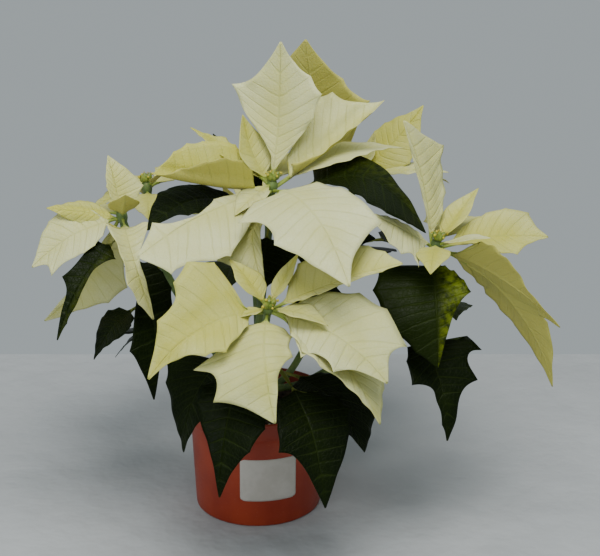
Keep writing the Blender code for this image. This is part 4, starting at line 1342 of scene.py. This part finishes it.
@dataclass(frozen=True)
class SoftFinish:
    """A mottled, specked surface with fine grain: stems, cups, plastic, bark, peat and cloth."""

    name: str
    light: Colour
    dark: Colour
    speck: Colour
    speck_share: float
    roughness: float
    clouds: float
    grain: float
    specks: float
    bump_mm: float
    stretch: float = 1.0
    grain_share: float = 0.6
    specular: float = 0.4
    cloud_share: float = 0.55
    streaks_per_cloud: float = 4.0
    streak_bump: float = 0.8
    tone_range: tuple[float, float] = (0.25, 0.85)
    grain_range: tuple[float, float] = (0.25, 0.75)
    roughness_swing: float = 0.1

    def material(self, groups: Groups) -> bpy.types.Material:
        """Builds the material.

        Args:
            groups: The shared node groups.

        Returns:
            The material.
        """
        finish = Finish(self.name, groups)
        wiring = finish.wiring
        mottle = finish.mottle(self.clouds, self.grain, self.specks)
        streaks = self.clouds * self.streaks_per_cloud
        streak = wiring.noise(finish.position, streaks, 4.0, (1.0, 1.0, self.stretch))
        tone = wiring.maths("MULTIPLY", mottle.outputs["Cloud"], self.cloud_share)
        tone = wiring.maths("ADD", tone, wiring.maths("MULTIPLY", streak, self.cloud_share))
        colour = wiring.blend(wiring.remap(tone, *self.tone_range), self.light, self.dark)
        speck = wiring.maths("MULTIPLY", mottle.outputs["Speck"], self.speck_share)
        colour = wiring.blend(speck, colour, self.speck)
        grain = mottle.outputs["Grain"]
        low, high = self.roughness - self.roughness_swing, self.roughness + self.roughness_swing
        rough = wiring.remap(grain, *self.grain_range, low, min(1.0, high))
        finish.set(Base_Color=colour, Roughness=rough, Specular_IOR_Level=self.specular)
        height = wiring.maths("MULTIPLY", streak, self.streak_bump)
        height = wiring.maths("MULTIPLY_ADD", grain, self.grain_share, height)
        finish.bump(height, self.bump_mm)
        return finish.material


BRACT = BladeFinish(
    "cream bract",
    pale=(0.70, 0.715, 0.40),
    # deep: the yellow that bracts with a high tone take, partly their own colour and partly painted shade and
    # painted light shining through.
    deep=(0.50, 0.49, 0.085),
    vein=(0.42, 0.44, 0.10),
    # Painted shade: the bract's underside is a darker olive than its top because it lies in shade.
    under=(0.50, 0.48, 0.11),
    stalk=(0.30, 0.38, 0.06),
    painted_glow=(0.60, 0.58, 0.16),
    tone_share=0.75,
    painted_glow_share=0.0,
    vein_share=0.32,
    roughness=0.5,
    specular=0.35,
    glow=0.2,
    bump_mm=0.30,
)
LEAF = BladeFinish(
    "dark leaf",
    pale=(0.0035, 0.0070, 0.0016),
    deep=(0.010, 0.018, 0.002),
    vein=(0.032, 0.052, 0.006),
    under=(0.045, 0.065, 0.018),
    stalk=(0.17, 0.19, 0.04),
    # Painted light: on leaves with a high tone, this yellow-green patch is light shining through the leaf,
    # painted on.
    painted_glow=(0.13, 0.17, 0.008),
    tone_share=0.7,
    painted_glow_share=0.85,
    vein_share=0.30,
    roughness=0.34,
    specular=0.06,
    glow=0.0,
    bump_mm=0.4,
)
STEM = SoftFinish(
    "green stem",
    light=(0.16, 0.24, 0.06), dark=(0.06, 0.11, 0.03), speck=(0.30, 0.22, 0.12),
    speck_share=0.5, roughness=0.5, clouds=45, grain=900, specks=260, bump_mm=0.25, stretch=0.2,
)
CUP = SoftFinish(
    "flower cup",
    light=(0.24, 0.30, 0.045), dark=(0.10, 0.16, 0.02), speck=(0.38, 0.38, 0.08),
    speck_share=0.4, roughness=0.42, clouds=160, grain=1400, specks=900, bump_mm=0.12,
)
GLAND = SoftFinish(
    "nectar gland",
    light=(0.55, 0.50, 0.06), dark=(0.42, 0.36, 0.03), speck=(0.70, 0.60, 0.12),
    speck_share=0.3, roughness=0.3, clouds=300, grain=1500, specks=900, bump_mm=0.05,
)
STAMEN = SoftFinish(
    "stamen",
    light=(0.45, 0.30, 0.05), dark=(0.40, 0.36, 0.06), speck=(0.70, 0.60, 0.12),
    speck_share=0.6, roughness=0.6, clouds=900, grain=1500, specks=1200, bump_mm=0.05,
)
PLASTIC = SoftFinish(
    "terracotta plastic",
    light=(0.32, 0.036, 0.009), dark=(0.24, 0.022, 0.006), speck=(0.40, 0.11, 0.05),
    speck_share=0.18, roughness=0.42, clouds=22, grain=1500, specks=240, bump_mm=0.05, stretch=0.12,
)
PANEL = SoftFinish(
    "blank panel",
    light=(0.50, 0.47, 0.42), dark=(0.44, 0.41, 0.36), speck=(0.38, 0.33, 0.28),
    speck_share=0.15, roughness=0.5, clouds=40, grain=1200, specks=300, bump_mm=0.03,
)
PEAT = SoftFinish(
    "peat",
    light=(0.055, 0.036, 0.022), dark=(0.018, 0.012, 0.008), speck=(0.12, 0.08, 0.045),
    speck_share=0.6, roughness=0.9, clouds=90, grain=1200, specks=700, bump_mm=0.9,
)
PERLITE = SoftFinish(
    "perlite",
    light=(0.62, 0.60, 0.54), dark=(0.45, 0.42, 0.36), speck=(0.30, 0.26, 0.20),
    speck_share=0.4, roughness=0.85, clouds=300, grain=1500, specks=900, bump_mm=0.25,
)
BARK = SoftFinish(
    "bark",
    light=(0.17, 0.14, 0.075), dark=(0.07, 0.055, 0.03), speck=(0.26, 0.22, 0.13),
    speck_share=0.5, roughness=0.8, clouds=60, grain=800, specks=300, bump_mm=0.8, stretch=0.15,
)
TABLE = SoftFinish(
    "pale table cloth",
    light=(0.44, 0.46, 0.475), dark=(0.40, 0.42, 0.435), speck=(0.5, 0.52, 0.54),
    speck_share=0.05, roughness=0.9, clouds=3, grain=900, specks=500, bump_mm=14.0,
    grain_share=0.002,
)


@dataclass
class Finishes:
    """All finishes, made once from the shared groups."""

    bract: bpy.types.Material
    leaf: bpy.types.Material
    stem: bpy.types.Material
    cup: bpy.types.Material
    gland: bpy.types.Material
    stamen: bpy.types.Material
    plastic: bpy.types.Material
    panel: bpy.types.Material
    peat: bpy.types.Material
    perlite: bpy.types.Material
    bark: bpy.types.Material
    table: bpy.types.Material

    @staticmethod
    def made() -> Finishes:
        """Builds the groups and every material.

        Returns:
            The finishes.
        """
        groups = Groups(vein_group(), mottle_group())
        kinds = (BRACT, LEAF, STEM, CUP, GLAND, STAMEN, PLASTIC, PANEL, PEAT, PERLITE, BARK, TABLE)
        return Finishes(*(kind.material(groups) for kind in kinds))


@dataclass(frozen=True)
class Bud:
    """One kind of small rounded body, with its sizes in millimetres and its ends' share of the width."""

    length: float
    radius: float
    waist: float
    sides: int
    rings: int

    def mesh(
        self, name: str, tree: bpy.types.NodeTree, spots: bpy.types.Mesh, finish: bpy.types.Material
    ) -> bpy.types.Mesh:
        """Puts the bud on every point.

        Args:
            name: The mesh's name.
            tree: The bud tree.
            spots: The mesh of points.
            finish: The buds' material.

        Returns:
            The mesh of all the buds.
        """
        sizes = {"Length": self.length * MM, "Radius": self.radius * MM, "Waist": self.waist}
        return grown(name, tree, spots, **sizes, Sides=self.sides, Rings=self.rings, Material=finish)


@dataclass
class Shoot:
    """One branch of the plant: green stem, leaves, crown, bracts and flower cups."""

    branch: Branch
    finishes: Finishes
    trees: tuple[bpy.types.NodeTree, bpy.types.NodeTree]
    skin: Skin = field(default_factory=Skin)
    skin_depth: float = 0.2
    node_swell: float = 0.5
    node_reach: float = 0.035
    crown_rings: tuple[float, ...] = (0.0, 0.12, 0.35, 0.55, 0.75, 0.9, 1.0)
    crown_shape: Places = ((0, 3.3), (0.35, CROWN_RADIUS), (0.75, CROWN_RADIUS), (1, 3.6))
    pad: Places = ((0.0, 3.4), (1.0, 3.3), (2.0, 3.1), (3.0, 2.8))
    cup: Bud = Bud(7.0, 3.0, 0.3, 14, 12)
    cup_ring: float = 1.5
    cup_lean: float = 0.6
    cup_size: float = 0.86
    cup_size_step: float = 0.16
    gland: Bud = Bud(1.7, 1.2, 0.55, 10, 6)
    gland_drop: float = 1.6
    gland_reach: float = 2.0
    gland_turn: float = 0.4
    stamen: Bud = Bud(1.9, 0.34, 0.4, 6, 5)
    stamens: int = 3
    stamen_drop: float = 0.8
    stamen_spread: float = 0.30
    stamen_reach: float = 2.2
    stamen_sizes: tuple[float, float] = (0.7, 1.2)

    def crown(self) -> tuple[np.ndarray, np.ndarray, np.ndarray]:
        """Finds the crown.

        Returns:
            The middle of its top, its axis, and the place where the green stem ends under it.
        """
        line = spline([np.array(point, float) for point in self.branch.route], LINE_STEPS)
        axis = unit(line[-1] - line[-5])
        return line[-1], axis, line[-1] - axis * (CROWN_LENGTH + GAP)

    def stem_line(self) -> np.ndarray:
        """Follows the middle of the green stem.

        Returns:
            Evenly stepped points from the trunk to the foot of the crown.
        """
        route = [np.array(point, float) for point in self.branch.route]
        return spline([*route[:-1], self.crown()[2]], LINE_STEPS)

    @staticmethod
    def root_in(centre: np.ndarray, axis: np.ndarray, tip: Spot) -> np.ndarray:
        """Finds where a blade starts inside its stem.

        Args:
            centre: The stem's middle.
            axis: The stem's direction.
            tip: The blade's tip.

        Returns:
            A place off the axis on the tip's side, further out where the blade climbs.
        """
        toward = unit(np.array(tip, float) - centre)
        climb = max(0.0, float(toward @ axis))
        out = ROOT_OFFSET + STEEP_ROOT_OFFSET * climb**4
        return centre + unit(toward - axis * (toward @ axis)) * out

    def tube(self, name: str, line: np.ndarray, radii: np.ndarray) -> bpy.types.Mesh:
        """Makes a green stalk along a line, as thick as the radii say."""
        base = line_mesh(line, radii)
        return grown(name, self.trees[0], base, Sides=TUBE_SIDES, Material=self.finishes.stem)

    def bracts(self) -> None:
        """Builds the crown and its whorl of bracts."""
        top, axis, _ = self.crown()
        low, high = CROWN_SHARES
        last = len(self.branch.bracts) - 1
        solids = []
        for i, blade in enumerate(self.branch.bracts):
            centre = top - axis * CROWN_LENGTH * (1 - low - (high - low) * i / last)
            solids.append(self.skin.solid(self.root_in(centre, axis, blade.tip), blade))
        shares = np.array(self.crown_rings)
        line = top - axis * CROWN_LENGTH * (1 - shares)[:, None]
        radii = np.interp(shares, *np.array(self.crown_shape).T)
        name = f"bracts_{self.branch.name}"
        crown = self.tube("crown", line, radii)
        blades = Solid.merged(solids).mesh("blades", self.finishes.bract)
        piece(f"{name}_fine", [blades, crown], name)

    def stem(self) -> None:
        """Builds the green stem, swollen at its nodes, and its leaves."""
        line = self.stem_line()
        along = np.linspace(0, 1, LINE_STEPS)
        radii = np.full(LINE_STEPS, STEM_RADIUS - self.skin_depth)
        solids = []
        for blade in self.branch.leaves:
            place = int(blade.at * (LINE_STEPS - 1))
            axis = unit(line[place + 1] - line[place - 1])
            solids.append(self.skin.solid(self.root_in(line[place], axis, blade.tip), blade))
            radii += self.node_swell * np.exp(-(((along - blade.at) / self.node_reach) ** 2))
        name = f"stem_{self.branch.name}"
        tube = self.tube("tube", line, radii)
        blades = Solid.merged(solids).mesh("blades", self.finishes.leaf)
        piece(f"{name}_fine", [blades, tube], name)

    def cups(self) -> None:
        """Builds the pad and the flower cups, each with a yellow gland and a tuft of stamens."""
        top, axis, _ = self.crown()
        side = unit(np.cross(axis, SIDE_GUIDE))
        other = np.cross(axis, side)
        foot = top + axis * GAP
        chance = np.random.default_rng(SEED + len(self.branch.name))
        cups = [(foot + axis, axis, 1.0)]
        ring = self.branch.cups - 1
        for i in range(ring):
            angle = 2 * math.pi * i / ring
            out = side * math.cos(angle) + other * math.sin(angle)
            size = self.cup_size + self.cup_size_step * (i % 2)
            cups.append((foot + axis + out * self.cup_ring, unit(axis + out * self.cup_lean), size))
        glands, tufts = [], []
        for spot, aim, size in cups:
            tip = spot + aim * self.cup.length * size
            lean = unit(tip - foot - axis * axis.dot(tip - foot) + side * self.gland_turn)
            place = tip - aim * self.gland_drop + lean * self.gland_reach * size
            glands.append((place, unit(aim + lean), size))
            for _ in range(self.stamens):
                spread = chance.normal(0, self.stamen_spread, 3)
                place = tip - aim * self.stamen_drop + spread * self.stamen_reach
                tufts.append((place, unit(aim + spread), chance.uniform(*self.stamen_sizes)))
        line = np.array([foot + axis * height for height, _ in self.pad])
        kit, bud = self.finishes, self.trees[1]
        meshes = [
            self.tube("pad", line, np.array([radius for _, radius in self.pad])),
            self.cup.mesh("cups", bud, point_mesh(cups), kit.cup),
            self.gland.mesh("glands", bud, point_mesh(glands), kit.gland),
            self.stamen.mesh("stamens", bud, point_mesh(tufts), kit.stamen),
        ]
        name = f"cups_{self.branch.name}"
        piece(f"{name}_fine", meshes, name)

    def build(self) -> None:
        """Builds the shoot's three pieces."""
        self.stem()
        self.bracts()
        self.cups()


@dataclass
class Lathe:
    """A closed profile turned round Z."""

    sides: int

    def solid(self, profile: list[tuple[float, float]]) -> Solid:
        """Turns the profile.

        Args:
            profile: Places as (radius, height), the first and the last on Z.

        Returns:
            The solid.
        """
        angles = np.arange(self.sides) * 2 * math.pi / self.sides
        rings = np.array(profile[1:-1])
        radius = rings[:, :1]
        height = np.repeat(rings[:, 1:], self.sides, axis=1)
        points = np.stack([radius * np.cos(angles), radius * np.sin(angles), height], axis=-1)
        points = np.vstack([(0, 0, profile[0][1]), points.reshape(-1, 3), (0, 0, profile[-1][1])])
        index = np.arange(len(rings) * self.sides).reshape(len(rings), self.sides) + 1
        turned = np.roll(index, -1, axis=1)
        walls = np.stack([index[:-1], turned[:-1], turned[1:], index[1:]], axis=-1).reshape(-1, 4)
        first = np.stack([np.zeros(self.sides, int), turned[0], index[0], index[0]], axis=-1)
        end = np.full(self.sides, len(points) - 1)
        last = np.stack([end, index[-1], turned[-1], turned[-1]], axis=-1)
        return Solid.plain(points, np.concatenate([walls, first, last]))


def lathe_mesh(name: str, solid: Solid, finish: bpy.types.Material, sharp: float = 40.0) -> bpy.types.Mesh:
    """Makes a turned solid's mesh, with three-sided faces at its poles.

    Args:
        name: The mesh's name.
        solid: The turned solid.
        finish: Its material.
        sharp: Edges that turn by more degrees than this stay sharp.

    Returns:
        The mesh, in metres.
    """
    mesh = bpy.data.meshes.new(name)
    faces = [list(dict.fromkeys(face)) for face in solid.faces.tolist()]
    mesh.from_pydata((solid.points * MM).tolist(), [], faces)
    mesh.materials.append(finish)
    mesh.shade_smooth()
    mesh.set_sharp_from_angle(angle=math.radians(sharp))
    return mesh


def carved(mesh: bpy.types.Mesh, cutters: list[bpy.types.Mesh]) -> bpy.types.Mesh:
    """Cuts shapes out of a mesh and keeps the result.

    Args:
        mesh: What is cut.
        cutters: The closed shapes that are taken away.

    Returns:
        The cut mesh.
    """
    node = placed("blank", mesh)
    tools = [placed("tool", cutter) for cutter in cutters]
    for tool in tools:
        boolean = node.modifiers.new("cut", "BOOLEAN")
        boolean.operation = "DIFFERENCE"
        boolean.solver = "EXACT"
        boolean.object = tool
    graph = bpy.context.evaluated_depsgraph_get()
    result = bpy.data.meshes.new_from_object(node.evaluated_get(graph))
    for item in [node, *tools]:
        bpy.data.objects.remove(item)
    return result


@dataclass
class Pot:
    """The thin nursery pot: tapered wall, rolled rim band, drainage holes and a blank panel."""

    finishes: Finishes
    height: float = 100.0
    base_radius: float = 55.0
    neck_radius: float = 58.6
    rim_radius: float = 64.0
    rim_depth: float = 16.0
    wall: float = 1.6
    wall_foot: float = 2.0
    wall_end: float = 1.5
    sides: int = 180
    drain_holes: int = 6
    drain_radius: float = 5.0
    drain_circle: float = 38.0
    drain_turn: float = 0.25
    drain_depth: tuple[float, float] = (-1.0, 3.0)
    drain_sides: int = 32
    panel_width: float = 50.0
    panel_height: float = 40.0
    panel_middle: float = 45.0
    panel_turn: float = 10.7
    panel_corner: float = 3.5
    panel_proud: float = 0.35
    panel_edge: float = 0.06
    panel_sunk: float = 0.5
    panel_rows: int = 25
    panel_columns: int = 41
    panel_rounding: tuple[float, float] = (14.0, 9.0)

    def wall_radius(self, height: object) -> object:
        """The outer radius of the tapered wall at a height, or at each of an array of them."""
        rise = self.height - self.rim_depth - self.wall_end - self.wall_foot
        return self.base_radius + (self.neck_radius - self.base_radius) / rise * (height - self.wall_foot)

    def profile(self) -> list[tuple[float, float]]:
        """Lays out the pot's wall.

        Returns:
            Places as (radius, height), from the middle of the base round to the inside floor.
        """
        foot = self.height - self.rim_depth
        inner = self.base_radius - self.wall
        outer = [(self.wall_radius(z), z) for z in (8.0, 20.0, 40.0, 60.0, 74.0)]
        return [
            (0, 0),
            (self.base_radius - 30.0, 0),
            (self.base_radius - 2.6, 0),
            (self.base_radius - 1.2, 0.25),
            (self.base_radius - 0.3, 1.0),
            (self.base_radius, 2.2),
            *outer,
            (self.neck_radius - 0.2, foot - 2.4),
            (self.neck_radius + 0.4, foot - 1.2),
            (self.rim_radius - 3.2, foot - 0.4),
            (self.rim_radius - 2.2, foot),
            (self.rim_radius - 1.9, foot + 0.8),
            (self.rim_radius - 1.5, foot + 7.0),
            (self.rim_radius - 1.3, self.height - 2.6),
            (self.rim_radius - 0.5, self.height - 2.0),
            (self.rim_radius - 0.4, self.height - 0.9),
            (self.rim_radius - 0.9, self.height - 0.2),
            (self.rim_radius - 1.6, self.height),
            (self.rim_radius - 2.4, self.height - 0.2),
            (self.rim_radius - 2.8, self.height - 0.9),
            (self.neck_radius - self.wall, foot - self.wall_end),
            (inner, self.wall + 1.6),
            (inner - 0.5, self.wall + 0.5),
            (inner - 1.6, self.wall),
            (20.0, self.wall),
            (0, self.wall),
        ]

    def panel(self) -> Solid:
        """Lays out the plain rounded panel that lies on the front of the wall.

        Returns:
            The panel, a thin solid bent round the pot.
        """
        u = np.linspace(-1, 1, self.panel_columns)[None, :]
        v = np.linspace(-1, 1, self.panel_rows)[:, None]
        half_w, half_h, corner = self.panel_width / 2, self.panel_height / 2, self.panel_corner
        over = np.maximum(0, np.abs(v) * half_h - (half_h - corner))
        reach = half_w - corner + np.sqrt(np.maximum(0, corner**2 - over**2))
        x = u * reach
        z = self.panel_middle + np.broadcast_to(v * half_h, x.shape)
        radius = self.wall_radius(z)
        across, down = self.panel_rounding
        edge = np.minimum(1.0, np.minimum((1 - np.abs(u)) * across, (1 - np.abs(v)) * down))
        proud = self.panel_edge + (self.panel_proud - self.panel_edge) * np.sqrt(edge)
        angle = x / radius + math.radians(self.panel_turn) - math.pi / 2
        sheets = []
        for offset in (proud, -self.panel_sunk):
            far = radius + offset
            sheets.append(np.stack([far * np.cos(angle), far * np.sin(angle), z], axis=-1).reshape(-1, 3))
        faces = shell_faces(self.panel_rows, self.panel_columns)[:, (0, 3, 2, 1)]
        return Solid.plain(np.vstack(sheets), faces)

    def build(self) -> None:
        """Builds the pot and its panel."""
        mesh = lathe_mesh("pot", Lathe(self.sides).solid(self.profile()), self.finishes.plastic)
        low, high = self.drain_depth
        profile = [(0, low), (self.drain_radius, low), (self.drain_radius, high), (0, high)]
        cutters = []
        for i in range(self.drain_holes):
            angle = 2 * math.pi * (i + self.drain_turn) / self.drain_holes
            cutter = Lathe(self.drain_sides).solid(profile)
            cutter.points += self.drain_circle * np.array((math.cos(angle), math.sin(angle), 0))
            cutters.append(lathe_mesh("cutter", cutter, self.finishes.plastic))
        mesh = carved(mesh, cutters)
        piece("pot_fine", [mesh, self.panel().mesh("panel", self.finishes.panel)], "pot")


@dataclass
class Soil:
    """The potting mix: an uneven top with crumbs of peat and white perlite on it."""

    finishes: Finishes
    bud: bpy.types.NodeTree
    floor: float = 1.9
    top: float = 88.0
    base_radius: float = 53.1
    neck_radius: float = 56.7
    neck_height: float = 82.5
    top_radius: float = 57.9
    hole_radius: float = 9.9
    sides: int = 120
    rings: int = 22
    crease: float = 60.0
    sag: float = 1.2
    swell: float = 0.9
    crumb: Bud = Bud(2.6, 1.3, 0.45, 6, 4)
    crumb_sunk: float = 0.6
    hole_margin: float = 2.0
    wall_margin: float = 3.0
    crumbs: int = 900
    crumb_sizes: tuple[float, float] = (0.5, 1.5)
    perlite: int = 90
    perlite_sizes: tuple[float, float] = (0.5, 1.1)

    def height(self, x: np.ndarray, y: np.ndarray) -> np.ndarray:
        """Finds how high the soil's uneven top is.

        Args:
            x: The places' distances along X.
            y: Their distances along Y.

        Returns:
            The heights at these places.
        """
        waves = np.sin(0.11 * x + 1.0) * np.sin(0.13 * y + 0.4) + 0.5 * np.sin(0.31 * x + 0.23 * y)
        return self.top - self.sag + self.swell * waves

    def body(self) -> bpy.types.Mesh:
        """Makes the soil's own mesh, with the hole that the trunk stands in.

        Returns:
            The mesh, in metres.
        """
        inner = np.linspace(self.top_radius, self.hole_radius, self.rings)
        profile = [
            (0, self.floor),
            (self.base_radius - 1.6, self.floor),
            (self.base_radius, self.floor + 1.6),
            (self.neck_radius, self.neck_height),
            *[(radius, self.top) for radius in inner],
            (self.hole_radius, TRUNK_FOOT - GAP),
            (0, TRUNK_FOOT - GAP),
        ]
        solid = Lathe(self.sides).solid(profile)
        upper = solid.points[:, 2] > self.top - 0.1
        points = solid.points[upper]
        points[:, 2] = self.height(points[:, 0], points[:, 1])
        solid.points[upper] = points
        return lathe_mesh("soil", solid, self.finishes.peat, self.crease)

    def scattered(self, count: int, sizes: tuple[float, float], seed: int) -> bpy.types.Mesh:
        """Scatters points over the soil's top.

        Args:
            count: How many points there are.
            sizes: The smallest size and the largest.
            seed: What the random places follow from.

        Returns:
            The mesh of points for the bud tree.
        """
        chance = np.random.default_rng(seed)
        inner, outer = self.hole_radius + self.hole_margin, self.top_radius - self.wall_margin
        spots = []
        for _ in range(count):
            radius = math.sqrt(chance.uniform(inner**2, outer**2))
            angle = chance.uniform(0, 2 * math.pi)
            x, y = radius * math.cos(angle), radius * math.sin(angle)
            z = float(self.height(np.array(x), np.array(y))) - self.crumb_sunk
            spots.append((np.array((x, y, z)), unit(chance.normal(0, 1, 3)), chance.uniform(*sizes)))
        return point_mesh(spots)

    def build(self) -> None:
        """Builds the soil with its crumbs."""
        crumbs = self.scattered(self.crumbs, self.crumb_sizes, SEED)
        stones = self.scattered(self.perlite, self.perlite_sizes, SEED + 1)
        meshes = [
            self.body(),
            self.crumb.mesh("crumbs", self.bud, crumbs, self.finishes.peat),
            self.crumb.mesh("perlite", self.bud, stones, self.finishes.perlite),
        ]
        piece("soil_fine", meshes, "soil")


@dataclass
class Trunk:
    """The short woody trunk with furrowed bark and a rounded, pinched top."""

    finishes: Finishes
    tube: bpy.types.NodeTree
    sides: int = 40
    rows: int = 90
    furrow: float = 0.12
    furrow_turns: float = 0.9
    shape: Places = (
        (46, 9.3), (60, 9.3), (74, 9.3), (86, 9.3), (94, 9.1), (102, 9.2),
        (108, 9.2), (112, 8.9), (114.5, 8.0), (115.6, 6.4), (116, 3.4),
    )

    def build(self) -> None:
        """Builds the trunk along its line."""
        heights = np.linspace(TRUNK_FOOT, TRUNK_TOP, self.rows)
        radii = np.interp(heights, *np.array(self.shape).T)
        radii += self.furrow * np.sin(heights * self.furrow_turns)
        base = line_mesh(np.outer(heights, UP), radii)
        mesh = grown("bark", self.tube, base, Sides=self.sides, Material=self.finishes.bark)
        piece("trunk_fine", [mesh], "trunk")


@dataclass(frozen=True)
class Lamp:
    """One soft square light: its place, what it faces and its side in metres, its power and colour."""

    name: str
    place: Spot
    aim: Spot
    size: float
    watts: float
    colour: Colour

    def build(self) -> None:
        """Makes the light."""
        lamp = bpy.data.lights.new(self.name, "AREA")
        lamp.size = self.size
        lamp.energy = self.watts
        lamp.color = self.colour
        node = placed(self.name, lamp)
        node.location = self.place
        x, y, z = np.array(self.aim) - np.array(self.place)
        node.rotation_euler = (math.atan2(math.hypot(x, y), -z), 0.0, math.atan2(y, x) - math.pi / 2)


@dataclass
class Stage:
    """The pale table, the soft studio light and the camera."""

    finishes: Finishes
    reach: float = 2.5
    back_edge: float = 0.33
    camera_place: Spot = (0.037, -1.33, 0.695)
    camera_tilt: float = 69.9
    lens: float = 100.0
    backdrop: Colour = (0.36, 0.40, 0.415)
    backdrop_strength: float = 1.0
    lamps: tuple[Lamp, ...] = (
        Lamp("sky panel", (0.1, -0.6, 1.9), (0.0, 0.0, 0.2), 1.1, 33.0, (1.0, 0.99, 0.94)),
        Lamp("front fill", (-0.9, -2.0, 1.0), (0.0, 0.0, 0.2), 1.2, 14.0, (0.97, 0.98, 1.0)),
    )

    def floor(self) -> None:
        """Makes the table's top, whose back edge is the line behind the plant."""
        mesh = bpy.data.meshes.new("table")
        side, edge = self.reach, self.back_edge
        corners = [(-side, -side, 0), (side, -side, 0), (side, edge, 0), (-side, edge, 0)]
        mesh.from_pydata(corners, [], [(0, 1, 2, 3)])
        mesh.materials.append(self.finishes.table)
        placed("table", mesh)

    def camera(self) -> None:
        """Places the camera at the photograph's viewing angle."""
        lens = bpy.data.cameras.new("camera")
        lens.lens = self.lens
        lens.sensor_width = 36.0
        lens.sensor_fit = "HORIZONTAL"
        lens.clip_start = 0.05
        node = placed("camera", lens)
        node.location = self.camera_place
        node.rotation_euler = (math.radians(self.camera_tilt), 0.0, 0.0)
        bpy.context.scene.camera = node

    def world(self) -> None:
        """Makes the even grey-blue surroundings."""
        world = bpy.data.worlds.new("studio")
        world.use_nodes = True
        background = world.node_tree.nodes["Background"]
        background.inputs["Color"].default_value = (*self.backdrop, 1.0)
        background.inputs["Strength"].default_value = self.backdrop_strength
        bpy.context.scene.world = world

    def build(self) -> None:
        """Sets the stage."""
        self.floor()
        self.world()
        for lamp in self.lamps:
            lamp.build()
        self.camera()


def main() -> None:
    """Builds the stage and the part, one sub-assembly after another."""
    logging.basicConfig(level=logging.INFO, format="%(message)s")
    finishes = Finishes.made()
    Stage(finishes).build()
    tube, bud = tube_tree(), bud_tree()
    Pot(finishes).build()
    Soil(finishes, bud).build()
    Trunk(finishes, tube).build()
    for branch in BRANCHES:
        Shoot(branch, finishes, (tube, bud)).build()


if __name__ == "__main__":
    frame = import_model()
    main()
